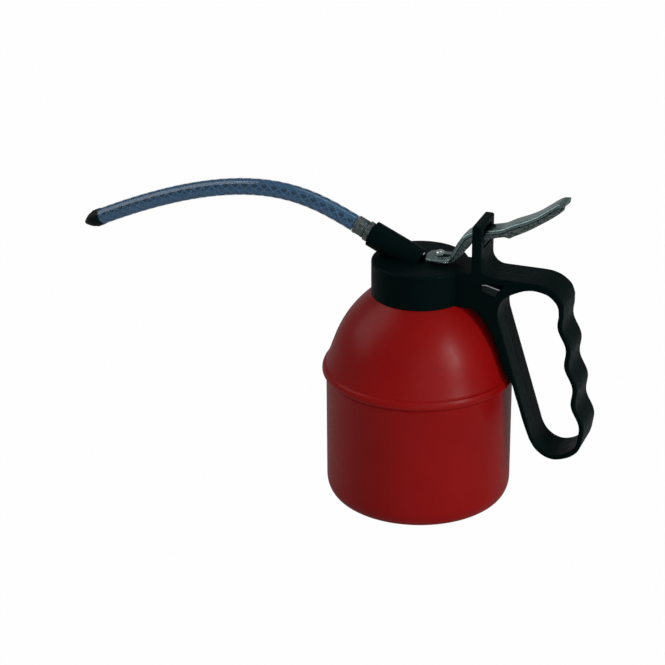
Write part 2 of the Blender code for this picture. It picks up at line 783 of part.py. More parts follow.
def make_spring(finish):
    """One unbroken wire: a flat ring at each end, with the open turns between."""
    low = piston_top_z + seat_gap + spring_wire_radius
    high = plate_z - seat_gap - spring_wire_radius
    count = spring_turns * spring_turn_points
    points = []
    for i in range(count + 1):
        angle = math.tau * i / spring_turn_points
        points.append(Vector((
            spring_coil_radius * math.cos(angle),
            spring_coil_radius * math.sin(angle),
            low + (high - low) * i / count,
        )))
    curve = bpy.data.curves.new("return_spring", "CURVE")
    curve.dimensions = "3D"
    curve.bevel_depth = spring_wire_radius
    curve.bevel_resolution = 1
    curve.use_fill_caps = True
    wire = curve.splines.new("POLY")
    wire.points.add(len(points) - 1)
    for target, point in zip(wire.points, points):
        target.co = (*point, 1)
    curve.materials.append(finish)
    made = bpy.data.objects.new("return_spring", curve)
    made.location = (plunger_x, 0, 0)
    bpy.context.collection.objects.link(made)
    least = min(
        (points[i] - points[j]).length
        for i in range(len(points))
        for j in range(i + spring_turn_points // 2, len(points))  # half a turn on, or more
    )
    print(f"least gap between the spring's turns: {(least - 2 * spring_wire_radius) * 1000:.2f} mm")
    return made


def hose_route():
    """The hose's centre line: one cubic curve from the ferrule to the nozzle."""
    start = boss_face + boss_dir * hose_start()
    lead = start + boss_dir * hose_start_pull
    tail = hose_end - nozzle_dir * hose_end_pull
    route = []
    for i in range(hose_rings + 1):
        t = i / hose_rings
        route.append((1 - t) ** 3 * start + 3 * (1 - t) ** 2 * t * lead
                     + 3 * (1 - t) * t ** 2 * tail + t ** 3 * hose_end)
    return route


def hose_start():
    """How far from the boss's face the hose begins."""
    return nipple_collar_length + ferrule_length + 3 * seat_gap


def make_hose(finish):
    route = hose_route()
    form = bmesh.new()
    rings = []
    for radius in (hose_radius, hose_bore):
        line = []
        for i, point in enumerate(route):
            if i == 0:
                along = boss_dir
            elif i == len(route) - 1:
                along = nozzle_dir
            else:
                along = (route[i + 1] - route[i - 1]).normalized()
            up = Vector((along.z, 0, -along.x))
            line.append([
                form.verts.new(point + radius * (up * math.cos(angle) + Vector((0, math.sin(angle), 0))))
                for angle in (math.tau * k / hose_sides for k in range(hose_sides))
            ])
        rings.append(line)
    outer, inner = rings
    for k in range(hose_sides):
        j = (k + 1) % hose_sides
        for i in range(len(route) - 1):
            form.faces.new((outer[i][k], outer[i][j], outer[i + 1][j], outer[i + 1][k]))
            form.faces.new((inner[i][k], inner[i + 1][k], inner[i + 1][j], inner[i][j]))
        for i in (0, -1):
            form.faces.new((outer[i][k], outer[i][j], inner[i][j], inner[i][k]))
    return add_object("spout_hose", form, finish)


def make_spout(metal_finish, seal_finish, hose_finish, nozzle_finish, plug_finish):
    collar_low = seat_gap
    collar_high = collar_low + nipple_collar_length
    barb_end = hose_start() + barb_length
    nipple = [
        (nipple_bore, -nipple_shank_length),
        (nipple_shank_radius, -nipple_shank_length),
        (nipple_shank_radius, collar_low),
        (nipple_collar_radius, collar_low),
        (nipple_collar_radius, collar_high),
        (stem_radius, collar_high),
        (stem_radius, barb_end),
        (nipple_bore, barb_end),
    ]
    turned_at("spout_nipple", nipple, metal_finish, boss_face, boss_dir)
    seal_high = -nipple_shank_length - seat_gap
    seal = ring_profile(nipple_bore, nipple_shank_radius, seal_high - nipple_seal_thick, seal_high)
    turned_at("nipple_seal", seal, seal_finish, boss_face, boss_dir)
    ferrule_low = collar_high + seat_gap
    ferrule = ring_profile(hose_bore, ferrule_radius, ferrule_low, ferrule_low + ferrule_length)
    turned_at("spout_ferrule", ferrule, metal_finish, boss_face, boss_dir)
    make_hose(hose_finish)

    nose = [(nozzle_bore, -nozzle_stem_length), (stem_radius, -nozzle_stem_length), (stem_radius, seat_gap)]
    nose += [(nozzle_radius, seat_gap), (nozzle_radius, seat_gap + nozzle_step)]
    for i in range(nose_steps + 1):
        share = i / nose_steps
        radius = nozzle_tip_radius + (nozzle_lip_radius - nozzle_tip_radius) * (1 - share ** nozzle_swell)
        nose.append((radius, seat_gap + nozzle_step + (nozzle_length - nozzle_step) * share))
    nose += [(nozzle_bore, seat_gap + nozzle_length)]
    turned_at("spout_nozzle", nose, nozzle_finish, hose_end, nozzle_dir)
    plug_place = boss_end + boss_up * plug_rise + boss_dir * plug_sink
    ball("channel_plug", plug_radius, plug_finish, plug_place)


def lever_station(top, bottom, half):
    """A U-shaped section between a top and a bottom point, across Y."""
    down = Vector((bottom[0] - top[0], 0, bottom[1] - top[1]))
    depth = down.length
    down.normalize()
    start = Vector((top[0], 0, top[1]))
    inner = half - lever_sheet
    bend = lever_bend
    soft = 1 - math.sqrt(0.5)
    right = [(half, depth), (half, bend), (half - soft * bend, soft * bend), (half - bend, 0)]
    loop = right + [(0, -lever_crown)]
    loop += [(-y, s) for y, s in reversed(right)]
    loop += [(-inner, depth), (-inner, lever_sheet), (inner, lever_sheet), (inner, depth)]
    return [start + down * s + Vector((0, y, 0)) for y, s in loop]


def make_lever(finish):
    stations = []
    for top, bottom, width in front_shares:
        stations.append((
            pin_x + front_reach * top[0], pin_z + front_drop * top[1],
            pin_x + front_reach * bottom[0], pin_z + front_drop * bottom[1],
            tongue_half * width,
        ))
    for top, bottom in rear_shares:
        stations.append((
            pin_x + lever_reach * top[0], pin_z + lever_rise * top[1],
            pin_x + lever_reach * bottom[0], pin_z + lever_rise * bottom[1],
            lever_half,
        ))
    form = bmesh.new()
    rings = []
    for x, z, low_x, low_z, half in smooth_line(stations, line_steps):
        rings.append([form.verts.new(point) for point in lever_station((x, z), (low_x, low_z), half)])
    for before, after in zip(rings, rings[1:]):
        for i in range(len(before)):
            j = (i + 1) % len(before)
            form.faces.new((before[i], before[j], after[j], after[i]))
    form.faces.new(rings[0])
    form.faces.new(reversed(rings[-1]))
    pivot = Matrix.Translation((-pin_x, 0, -pin_z))
    bmesh.ops.transform(form, matrix=pivot, verts=form.verts)
    lever = add_object("pump_lever", form, finish)
    lever.location = (pin_x, 0, pin_z)
    hole = rod_profile(pin_radius + run_gap, -handle_half, handle_half)
    cut(lever, turned_at("lever_hole", hole, finish, (pin_x, 0, pin_z), Vector((0, 1, 0)), bore_steps))
    slot_half = rod_radius + side_gap
    front = plunger_x - slot_front + slot_half
    rear = plunger_x + slot_rear - slot_half
    slot = arc(front, 0, slot_half, math.pi / 2, math.pi * 1.5, fillet_steps)
    slot += arc(rear, 0, slot_half, -math.pi / 2, math.pi / 2, fillet_steps)
    form = bmesh.new()
    low = tongue_top_z - lever_half
    high = tongue_top_z + lever_half
    floor = [form.verts.new((x, y, low)) for x, y in slot]
    roof = [form.verts.new((x, y, high)) for x, y in slot]
    form.faces.new(floor)
    form.faces.new(reversed(roof))
    for i in range(len(slot)):
        j = (i + 1) % len(slot)
        form.faces.new((floor[i], roof[i], roof[j], floor[j]))
    cut(lever, add_object("tongue_slot", form, finish))
    return lever


def make_pin(finish):
    profile = rod_profile(pin_radius, pin_wall + seat_gap - handle_half, handle_half - seat_gap)
    turned_at("lever_pin", profile, finish, (pin_x, 0, pin_z), Vector((0, 1, 0)))


def main():
    for old in list(bpy.data.objects):
        bpy.data.objects.remove(old, do_unlink=True)
    red = material("red plastic", (0.42, 0.012, 0.018), 0.42)
    black = material("black plastic", (0.008, 0.016, 0.015), 0.38)
    chrome = material("chromed steel", (0.75, 0.76, 0.78), 0.15, 1.0)
    zinc = material("zinc", (0.48, 0.49, 0.50), 0.35, 1.0)
    steel = material("steel", (0.60, 0.60, 0.62), 0.25, 1.0)
    rubber = material("rubber", (0.02, 0.02, 0.02), 0.7)
    white = material("white plastic", (0.75, 0.75, 0.72), 0.45)
    clear = material("clear tube", (0.80, 0.84, 0.86), 0.2, 0.0, 0.4)
    blue = material("blue hose", (0.05, 0.16, 0.40), 0.2, 0.0, 0.6)
    grey = material("grey plastic", (0.05, 0.05, 0.055), 0.45)
    make_can_body(red)
    make_can_dome(red)
    make_gasket(rubber)
    make_head(black)
    make_gland(zinc, rubber)
    make_barrel(white)
    make_inlet(steel, white)
    make_suction(clear, white)
    make_plunger(steel, white, rubber, steel)
    make_spring(steel)
    make_spout(zinc, rubber, blue, grey, steel)
    make_lever(chrome)
    make_pin(steel)


main()
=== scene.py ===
import math

import bmesh
import bpy
from mathutils import Matrix, Vector
from mathutils.geometry import tessellate_polygon


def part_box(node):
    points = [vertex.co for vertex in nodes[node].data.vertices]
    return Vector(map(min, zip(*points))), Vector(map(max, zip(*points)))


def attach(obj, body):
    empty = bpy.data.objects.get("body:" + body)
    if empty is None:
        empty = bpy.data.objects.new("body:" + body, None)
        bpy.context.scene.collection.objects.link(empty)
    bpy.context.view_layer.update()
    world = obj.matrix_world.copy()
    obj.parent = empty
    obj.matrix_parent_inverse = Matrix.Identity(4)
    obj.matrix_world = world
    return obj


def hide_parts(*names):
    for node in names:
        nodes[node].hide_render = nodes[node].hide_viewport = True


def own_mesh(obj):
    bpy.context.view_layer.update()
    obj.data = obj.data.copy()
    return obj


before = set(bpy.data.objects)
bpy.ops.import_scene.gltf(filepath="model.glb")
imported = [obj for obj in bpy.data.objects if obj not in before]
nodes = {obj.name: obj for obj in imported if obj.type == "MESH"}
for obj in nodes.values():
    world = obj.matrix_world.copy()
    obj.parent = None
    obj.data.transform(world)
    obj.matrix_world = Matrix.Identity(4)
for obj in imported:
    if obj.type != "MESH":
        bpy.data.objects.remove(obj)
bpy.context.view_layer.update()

X, Y, Z = range(3)
LOW, HIGH = range(2)


def edge(node, side, axis):
    """One side of a solid's box, to the micrometre."""
    return round(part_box(node)[side][axis], 6)


def middle(node, axis):
    """The middle of a solid's box, to the micrometre."""
    low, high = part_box(node)
    return round((low[axis] + high[axis]) / 2, 6)


# Sizes that several parts share, in metres, from the solids where they show them
SEAT_GAP = 0.0003  # between two pieces that seat on each other
CUT_OVER = 0.0010  # how far a cut runs past its face
PLUNGER_X = middle("plunger_head", X)
NECK_R = edge("neck_gasket", HIGH, X)
PLATE_Z = edge("pump_cylinder", HIGH, Z) + SEAT_GAP
CAP_PLATE = 0.0030
CAP_TOP = PLATE_Z + CAP_PLATE
PIN_X, PIN_Z = middle("lever_pin", X), middle("lever_pin", Z)
HALF_W = edge("lever_pin", HIGH, Y) + SEAT_GAP
TONGUE_Z = edge("plunger_head", LOW, Z) - SEAT_GAP
FLOW_STEPS = 4

# Where patterns fade, along X or off the middle plane
TONGUE_END = (0.0120, 0.0170)
SEAM_HALF, SEAM_FRONT, SEAM_REAR = (0.0002, 0.0006), (0.030, 0.034), (0.054, 0.066)
# The hose lining's dark line is painted shade.
HOSE_PAINTED_SHADE_WAY = (0, -0.90, 0.44)  # the hose's dark line faces this way, and a second the opposite way


# Node materials
class Net:
    """A material's node tree, with short calls for its nodes and links."""

    def __init__(self, name):
        self.material = bpy.data.materials.new(name)
        self.material.use_nodes = True
        self.tree = self.material.node_tree
        self.shader = self.tree.nodes["Principled BSDF"]

    def node(self, kind, **values):
        made = self.tree.nodes.new(kind)
        for key, value in values.items():
            setattr(made, key, value)
        return made

    def link(self, source, target):
        self.tree.links.new(source, target)

    def place(self):
        return self.node("ShaderNodeTexCoord").outputs["Object"]

    def split(self, vector):
        made = self.node("ShaderNodeSeparateXYZ")
        self.link(vector, made.inputs["Vector"])
        return made.outputs

    def normal(self):
        return self.node("ShaderNodeNewGeometry").outputs["Normal"]

    def noise(self, scale, detail=3.0, roughness=0.5):
        made = self.node("ShaderNodeTexNoise")
        made.inputs["Scale"].default_value = scale
        made.inputs["Detail"].default_value = detail
        made.inputs["Roughness"].default_value = roughness
        self.link(self.place(), made.inputs["Vector"])
        return made.outputs["Fac"]

    def tones(self, factor, low, high, spread=0.15):
        """From a low to a high colour, over a factor's middle."""
        made = self.node("ShaderNodeValToRGB")
        first, last = made.color_ramp.elements
        first.position, first.color = 0.5 - spread, (*low, 1)
        last.position, last.color = 0.5 + spread, (*high, 1)
        self.link(factor, made.inputs["Fac"])
        return made.outputs["Color"]

    def span(self, factor, low, high, start=0.0, end=1.0):
        """A factor's stretch from start to end, spread from low to high."""
        made = self.node("ShaderNodeMapRange")
        made.inputs["From Min"].default_value = start
        made.inputs["From Max"].default_value = end
        made.inputs["To Min"].default_value = low
        made.inputs["To Max"].default_value = high
        self.link(factor, made.inputs["Value"])
        return made.outputs["Result"]

    def maths(self, operation, *values):
        made = self.node("ShaderNodeMath", operation=operation)
        for socket, value in zip(made.inputs, values):
            if isinstance(value, (int, float)):
                socket.default_value = value
            else:
                self.link(value, socket)
        return made.outputs["Value"]

    def mix(self, factor, first, second, blend="MIX"):
        """From a first output to a second colour, by a factor."""
        made = self.node("ShaderNodeMix", data_type="RGBA", blend_type=blend)
        self.link(factor, made.inputs["Factor"])
        self.link(first, made.inputs["A"])
        made.inputs["B"].default_value = (*second, 1)
        return made.outputs["Result"]

    def bump(self, *heights):
        """Bump from (height, strength, distance) rows, one on the other."""
        normal = None
        for height, strength, distance in heights:
            made = self.node("ShaderNodeBump")
            made.inputs["Strength"].default_value = strength
            made.inputs["Distance"].default_value = distance
            self.link(height, made.inputs["Height"])
            if normal is not None:
                self.link(normal, made.inputs["Normal"])
            normal = made.outputs["Normal"]
        self.link(normal, self.shader.inputs["Normal"])

    def set(self, **values):
        for key, value in values.items():
            self.shader.inputs[key.replace("_", " ")].default_value = value

    def colour(self, output):
        self.link(output, self.shader.inputs["Base Color"])

    def gloss(self, noise, low, high):
        """Roughness between two values, over a noise's middle."""
        self.link(self.span(noise, low, high, 0.35, 0.65), self.shader.inputs["Roughness"])


def can_red():
    net = Net("can_red")
    net.colour(net.tones(net.noise(28, 4, 0.55), (0.430, 0.0050, 0.0052), (0.500, 0.0070, 0.0070), 0.20))
    net.gloss(net.noise(420), 0.29, 0.37)
    net.set(Specular_IOR_Level=0.25)
    net.bump((net.noise(900, 2, 0.6), 0.10, 0.0002), (net.noise(2600, 2, 0.6), 0.10, 0.0001))
    return net.material


def head_black():
    """Fine-grained black, with the mould's seam along the top of the arm."""
    net = Net("head_black")
    net.colour(net.tones(net.noise(45, 4, 0.6), (0.0012, 0.0068, 0.0066), (0.0022, 0.0090, 0.0087), 0.20))
    net.gloss(net.noise(380), 0.32, 0.44)
    net.set(Specular_IOR_Level=0.05, Specular_Tint=(0.60, 1.0, 0.98, 1.0))
    place = net.split(net.place())
    off_seam = net.span(net.maths("ABSOLUTE", place["Y"]), 0.0, 1.0, *SEAM_HALF)
    rear_end = net.span(place["X"], 0.0, 1.0, *SEAM_REAR)
    front_end = net.span(place["X"], 1.0, 0.0, *SEAM_FRONT)
    seam = net.maths("MAXIMUM", net.maths("MAXIMUM", off_seam, rear_end), front_end)
    grain = net.noise(1100, 2, 0.6)
    net.bump((seam, 0.8, 0.0004), (grain, 0.12, 0.00015), (net.noise(3200, 2, 0.6), 0.10, 0.0001))
    return net.material


def chrome(name, dull, shine, wear):
    """Chrome between a dull and a shining colour, more uneven on the tongue; on the flanks the dark dull
    colour is painted shade.
    """
    net = Net(name)
    net.set(Metallic=1.0)
    tongue = net.span(net.split(net.place())["X"], 1.0, 0.0, *TONGUE_END)
    mottle = net.noise(900, 5, 0.70)
    net.colour(net.mix(tongue, net.tones(mottle, dull, shine, 0.12), (0.84, 0.86, 0.86), "MULTIPLY"))
    net.gloss(net.noise(300, 4, 0.6), 0.12, 0.24)
    pits = net.maths("MULTIPLY", mottle, net.maths("MAXIMUM", tongue, wear))
    net.bump((pits, 0.55, 0.0008), (net.noise(260, 3, 0.6), 0.12, 0.0006))
    return net.material


def fitting_zinc():
    net = Net("fitting_zinc")
    net.set(Metallic=1.0)
    net.colour(net.tones(net.noise(500, 4, 0.6), (0.12, 0.155, 0.15), (0.32, 0.37, 0.36)))
    net.gloss(net.noise(500), 0.28, 0.46)
    net.bump((net.noise(700, 3, 0.6), 0.35, 0.0003))
    return net.material


def bright_steel():
    net = Net("bright_steel")
    net.set(Metallic=1.0)
    net.colour(net.tones(net.noise(300), (0.516, 0.5246, 0.5332), (0.60, 0.61, 0.62)))
    net.gloss(net.noise(600), 0.16, 0.30)
    net.bump((net.noise(1500, 2), 0.10, 0.0001))
    return net.material


def plunger_polish():
    net = Net("plunger_polish")
    net.set(Metallic=1.0)
    net.colour(net.tones(net.noise(300), (0.72, 0.75, 0.75), (0.90, 0.93, 0.93)))
    net.gloss(net.noise(600), 0.05, 0.10)
    net.bump((net.noise(900, 2), 0.05, 0.0001))
    return net.material


def lug_black_painted_highlight():
    """The black of the head, with a painted highlight in pale grey along the edges that face up and out."""
    net = Net("lug_black_painted_highlight")
    facing = net.split(net.normal())
    out = net.span(net.maths("ABSOLUTE", facing["Y"]), 0.0, 1.0, 0.20, 0.40)
    up = net.span(facing["Z"], 0.0, 1.0, 0.20, 0.40)
    black = net.tones(net.noise(300), (0.010, 0.018, 0.017), (0.014, 0.024, 0.023))
    # Painted highlight: pale grey on the faces that turn up and out.
    net.colour(net.mix(net.maths("MULTIPLY", out, up), black, (0.66, 0.72, 0.71)))
    net.set(Roughness=0.4, Specular_IOR_Level=0.2)
    net.bump((net.noise(1100, 2, 0.6), 0.12, 0.00015))
    return net.material


def hose_skin():
    """The clear wall outside the braid, slightly milky."""
    net = Net("hose_skin")
    net.colour(net.tones(net.noise(60), (0.070, 0.225, 0.430), (0.095, 0.265, 0.490), 0.20))
    net.gloss(net.noise(300, 2), 0.06, 0.11)
    net.set(Alpha=0.32, IOR=2.2, Specular_IOR_Level=1.0)
    net.bump((net.noise(350, 2), 0.10, 0.0002))
    return net.material


def hose_thread():
    net = Net("hose_thread")
    net.colour(net.tones(net.noise(1400), (0.028, 0.130, 0.300), (0.150, 0.380, 0.640)))
    net.set(Roughness=0.6, Specular_IOR_Level=0.2)
    net.bump((net.noise(2500, 2), 0.25, 0.0002))
    return net.material


def hose_core():
    """The milky lining under the braid, with a dark line of painted shade along its front and back."""
    net = Net("hose_core")
    facing = net.node("ShaderNodeVectorMath", operation="DOT_PRODUCT")
    net.link(net.normal(), facing.inputs[0])
    facing.inputs[1].default_value = HOSE_PAINTED_SHADE_WAY
    line = net.span(net.maths("ABSOLUTE", facing.outputs["Value"]), 0.0, 1.0, 0.91, 0.98)
    pale = net.tones(net.noise(900, 4, 0.7), (0.028, 0.140, 0.310), (0.090, 0.280, 0.520))
    # Painted shade: a dark line where the lining faces the set way or its opposite.
    net.colour(net.mix(line, pale, (0.001, 0.005, 0.011)))
    net.set(Roughness=0.5, Specular_IOR_Level=0.2)
    net.bump((net.noise(600, 2), 0.10, 0.0002))
    return net.material


def nozzle_grey():
    net = Net("nozzle_grey")
    net.colour(net.tones(net.noise(250), (0.002, 0.005, 0.005), (0.004, 0.008, 0.008)))
    net.gloss(net.noise(500), 0.36, 0.50)
    net.set(Specular_IOR_Level=0.20)
    net.bump((net.noise(1500, 2), 0.15, 0.0002))
    return net.material


def plain(name, low, high, roughness, alpha=1.0):
    """A plain plastic or rubber for the parts inside."""
    net = Net(name)
    net.colour(net.tones(net.noise(200), low, high))
    net.gloss(net.noise(600, 2), roughness - 0.05, roughness + 0.05)
    net.set(Alpha=alpha)
    net.bump((net.noise(1500, 2), 0.10, 0.0001))
    return net.material


MAT = {
    "can_red": can_red(),
    "head_black": head_black(),
    "lever_chrome": chrome("lever_chrome", (0.21, 0.30, 0.29), (0.37, 0.50, 0.49), 0.06),
    # The flanks: pitted chrome, with a dark dull colour that is painted shade.
    "lever_flank_painted_shade": chrome("lever_flank_painted_shade", (0.04, 0.06, 0.06), (0.38, 0.47, 0.46), 1.0),
    "plunger_polish": plunger_polish(),
    "lug_black_painted_highlight": lug_black_painted_highlight(),
    "fitting_zinc": fitting_zinc(),
    "bright_steel": bright_steel(),
    "hose_skin": hose_skin(),
    "hose_thread": hose_thread(),
    "hose_core": hose_core(),
    "nozzle_grey": nozzle_grey(),
    "tube_clear": plain("tube_clear", (0.62, 0.66, 0.68), (0.70, 0.74, 0.76), 0.2, 0.45),
    "inner_white": plain("inner_white", (0.66, 0.66, 0.63), (0.74, 0.74, 0.71), 0.45),
    "seal_rubber": plain("seal_rubber", (0.012, 0.012, 0.012), (0.022, 0.022, 0.022), 0.6),
}

KEPT = {
    "seal_rubber": ("neck_gasket", "rod_seal", "nipple_seal", "piston_seal"),
    "inner_white": ("pump_cylinder", "inlet_cage", "foot_strainer", "piston"),
    "bright_steel": ("inlet_ball", "channel_plug", "lever_pin", "plunger_rod", "piston_nut", "piston_ball"),
    "fitting_zinc": ("gland_bush",),
    "tube_clear": ("suction_tube",),
}


def dress_kept():
    """The solids that stay as they are get node materials."""
    for material, names in KEPT.items():
        for name in names:
            data = nodes[name].data
            data.materials.clear()
            data.materials.append(MAT[material])


dress_kept()


# Mesh helpers
def arc(x, z, radius, start, end, steps):
    return [
        (x + radius * math.cos(start + (end - start) * i / steps),
         z + radius * math.sin(start + (end - start) * i / steps))
        for i in range(steps + 1)
    ]


def shaded(made, sharp):
    """Smooth shading, apart from edges that turn by more than sharp degrees."""
    made.data.shade_smooth()
    made.data.set_sharp_from_angle(angle=math.radians(sharp))


def made_object(name, form, material, sharp=30):
    bmesh.ops.recalc_face_normals(form, faces=form.faces)
    mesh = bpy.data.meshes.new(name)
    form.to_mesh(mesh)
    form.free()
    mesh.materials.append(MAT[material])
    made = bpy.data.objects.new(name, mesh)
    shaded(made, sharp)
    bpy.context.scene.collection.objects.link(made)
    return made


def joined(form, before, after):
    """Faces between two closed rings of corners."""
    for i in range(len(before)):
        j = (i + 1) % len(before)
        corners = []
        for corner in (before[i], before[j], after[j], after[i]):
            if corner not in corners:
                corners.append(corner)
        form.faces.new(corners)


def capped(form, first, last):
    """Flat faces over the first and the last ring of corners."""
    form.faces.new(first)
    form.faces.new(list(reversed(last)))


def lathe(name, profile, material, steps=160, place=(0, 0, 0), direction=(0, 0, 1)):
    """A closed outline turned about an axis, from (radius, height) or
    (radius, height, dent, dents) rows."""
    form = bmesh.new()
    turn = Vector(direction).to_track_quat("Z", "Y").to_matrix().to_4x4()
    matrix = Matrix.Translation(place) @ turn
    rings = []
    for radius, height, *dents in profile:
        if radius == 0:
            rings.append([form.verts.new(matrix @ Vector((0, 0, height)))] * steps)
            continue
        ring = []
        for i in range(steps):
            angle = math.tau * i / steps
            out = radius
            if dents:
                out -= dents[0] * (0.5 - 0.5 * math.cos(dents[1] * angle))
            point = Vector((out * math.cos(angle), out * math.sin(angle), height))
            ring.append(form.verts.new(matrix @ point))
        rings.append(ring)
    for low, high in zip(rings, rings[1:] + rings[:1]):
        if low[0] is not low[1] or high[0] is not high[1]:
            joined(form, low, high)
    return made_object(name, form, material)


def sweep(form, line, sides):
    """Rings along rows of (point, up, across), whose two directions are as long as the half sizes."""
    rings = []
    for point, up, across in line:
        angles = [math.tau * k / sides for k in range(sides)]
        rings.append([form.verts.new(point + up * math.cos(a) + across * math.sin(a)) for a in angles])
    for before, after in zip(rings, rings[1:]):
        joined(form, before, after)
    return rings


def softened(points, radius, steps=3):
    """An outline with its corners rounded, each by at most radius."""
    out = []
    count = len(points)
    for i, point in enumerate(points):
        here = Vector(point)
        before = Vector(points[i - 1]) - here
        after = Vector(points[(i + 1) % count]) - here
        if point[0] == 0 or before.angle(after, math.pi) > math.radians(165):
            out.append(point)
            continue
        reach = min(radius, 0.45 * before.length, 0.45 * after.length)
        start, end = here + before.normalized() * reach, here + after.normalized() * reach
        for k in range(steps + 1):
            t = k / steps
            p = (1 - t) ** 2 * start + 2 * t * (1 - t) * here + t * t * end
            out.append((p.x, p.y))
    return out


def flowing(points, steps):
    """A smooth line through points, by Catmull and Rom."""
    padded = [points[0], *points, points[-1]]
    line = []
    for k in range(1, len(padded) - 2):
        before, start, end, after = padded[k - 1:k + 3]
        for i in range(steps):
            t = i / steps
            line.append(tuple(
                (2 * b + (c - a) * t + (2 * a - 5 * b + 4 * c - d) * t ** 2
                 + (3 * b - 3 * c + d - a) * t ** 3) / 2
                for a, b, c, d in zip(before, start, end, after)
            ))
    line.append(tuple(points[-1]))
    return line


# Can
STOP_SIZE = 0.0003  # the solid cup's ring under the shoulder's lip
CAN_R, CUP_TOP = edge("can_body", HIGH, X) - STOP_SIZE, edge("can_body", HIGH, Z)
NECK_TOP = edge("can_dome", HIGH, Z)
CAN_WALL, DOME_WALL = 0.0014, 0.0016
CAN_STEPS = 192
BASE_ROUND_IN, BASE_ROUND_UP, BASE_ROUND_STEPS = 0.005, 0.008, 12
INNER_WALL_LEAD = 0.0005  # from the inner round to the straight wall
RECESS, RECESS_IN, RECESS_OUT, RECESS_SLOPE, RECESS_ROUND = 0.0010, 0.0140, 0.0340, 0.0020, 0.0006
SWELL, ARC_OFF, ARC_Z = 0.0106, 0.0111, 0.0604
ARC_R = CAN_R + SWELL
DOME_FOOT_Z, FLARE_TOP_Z = 0.0738, 0.0790
DOME_STEPS, DOME_INNER_STEPS = 40, 24
# Outlines past the cup's wall and over its rim: the low ring, the flare of the dome and the bead
RING = ((0, -0.0062), (0.0001, -0.0057), (0.0002, -0.0050), (0.0002, -0.0045), (0, -0.0044))
FLARE = ((-0.00315, 0.0105), (-0.00262, 0.0090), (-0.00205, 0.0074), (-0.00146, 0.0058),
         (-0.00086, 0.0042), (-0.00024, 0.0026), (0.00020, 0.0015), (0.00024, 0.0011))
BEAD = ((0.00040, 0.0009), (0.00090, 0.0008), (0.00130, 0.0004), (0.00162, -0.0003),
        (0.00188, -0.0010), (0.00199, -0.0018), (0.00190, -0.0025), (0.00155, -0.0030),
        (0.00100, -0.0034), (0.00040, -0.0038), (0.00006, -0.0043))


def dome_radius(height, offset=0.0):
    return math.sqrt((ARC_R + offset) ** 2 - (height - ARC_Z) ** 2) - ARC_OFF


def dome_height(radius, offset=0.0):
    return math.sqrt((ARC_R + offset) ** 2 - (radius + ARC_OFF) ** 2) + ARC_Z


def dome_line(radius_top, height_foot, offset, steps):
    """The dome's arc, moved out by offset, from a radius at its top to a height at its foot."""
    top = dome_height(radius_top, offset)
    foot = dome_radius(height_foot, offset)
    return arc(-ARC_OFF, ARC_Z, ARC_R + offset, math.atan2(top - ARC_Z, radius_top + ARC_OFF),
               math.atan2(height_foot - ARC_Z, foot + ARC_OFF), steps)


def by_rim(table):
    """(radius, height) points from stands past the cup's wall and rises over its rim."""
    return [(CAN_R + stand, CUP_TOP + rise) for stand, rise in table]


def make_cup():
    turns = [math.pi / 2 * i / BASE_ROUND_STEPS for i in range(BASE_ROUND_STEPS + 1)]
    corner = [(CAN_R - BASE_ROUND_IN * (1 - math.sin(a)), BASE_ROUND_UP * (1 - math.cos(a))) for a in turns]
    base = [(0, 0), (RECESS_IN - RECESS_SLOPE, 0), (RECESS_IN, RECESS), (RECESS_OUT, RECESS)]
    base += [(RECESS_OUT + RECESS_SLOPE, 0)]
    body = softened(base, RECESS_ROUND) + corner + by_rim(RING)
    inside = CAN_R - CAN_WALL
    body += [(CAN_R, CUP_TOP), (inside, CUP_TOP), (inside, BASE_ROUND_UP + INNER_WALL_LEAD)]
    inner = [(r - CAN_WALL * math.sin(a), z + CAN_WALL * (1 - i / BASE_ROUND_STEPS))
             for i, (a, (r, z)) in enumerate(zip(turns, corner))]
    body += inner[-2::-1]
    body += [(r, z + CAN_WALL) for r, z in reversed(base)]
    made = lathe("can_cup", body, "can_red", CAN_STEPS)
    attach(made, "can")
    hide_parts("can_body")


def make_shoulder():
    neck_bore, inner_foot = NECK_R - DOME_WALL, DOME_FOOT_Z - DOME_WALL
    line = [(NECK_R, NECK_TOP)] + dome_line(NECK_R, FLARE_TOP_Z, 0, DOME_STEPS)
    line += flowing([line[-1], *by_rim(FLARE), *by_rim(BEAD)], FLOW_STEPS)[1:]
    line += [(CAN_R + SEAT_GAP, CUP_TOP + SEAT_GAP)]
    line += [(dome_radius(inner_foot, -DOME_WALL) + DOME_WALL, inner_foot - DOME_WALL / 2)]
    line += reversed(dome_line(neck_bore, inner_foot, -DOME_WALL, DOME_INNER_STEPS))
    line += [(neck_bore, NECK_TOP)]
    made = lathe("can_shoulder", line, "can_red", CAN_STEPS)
    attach(made, "can")
    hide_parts("can_dome")


make_cup()
make_shoulder()


# Spout: the boss's axis, the fitting's lengths and the hose
BOSS_SLOPE, BOSS_LENGTH = math.radians(25), 0.0265
BOSS_SET_BACK, BOSS_SET_DOWN = 0.0104, 0.0016  # the boss's inner end, from the plunger and the cap's top
BOSS_DIR = Vector((-math.cos(BOSS_SLOPE), 0, math.sin(BOSS_SLOPE)))
BOSS_UP = Vector((math.sin(BOSS_SLOPE), 0, math.cos(BOSS_SLOPE)))
BOSS_END = Vector((PLUNGER_X - BOSS_SET_BACK, 0, CAP_TOP - BOSS_SET_DOWN))
BOSS_FACE = BOSS_END + BOSS_DIR * BOSS_LENGTH
COLLAR_LENGTH, FERRULE_LENGTH, BARB_LENGTH = 0.0026, 0.0056, 0.0100
HOSE_R = edge("spout_hose", HIGH, Y)
HOSE_WALL = 0.0019
HOSE_BORE = HOSE_R - HOSE_WALL
HOSE_REACH, HOSE_FALL, END_SLOPE = 0.1456, 0.0116, math.radians(25.9)
NOZZLE_DIR = Vector((-math.cos(END_SLOPE), 0, -math.sin(END_SLOPE)))
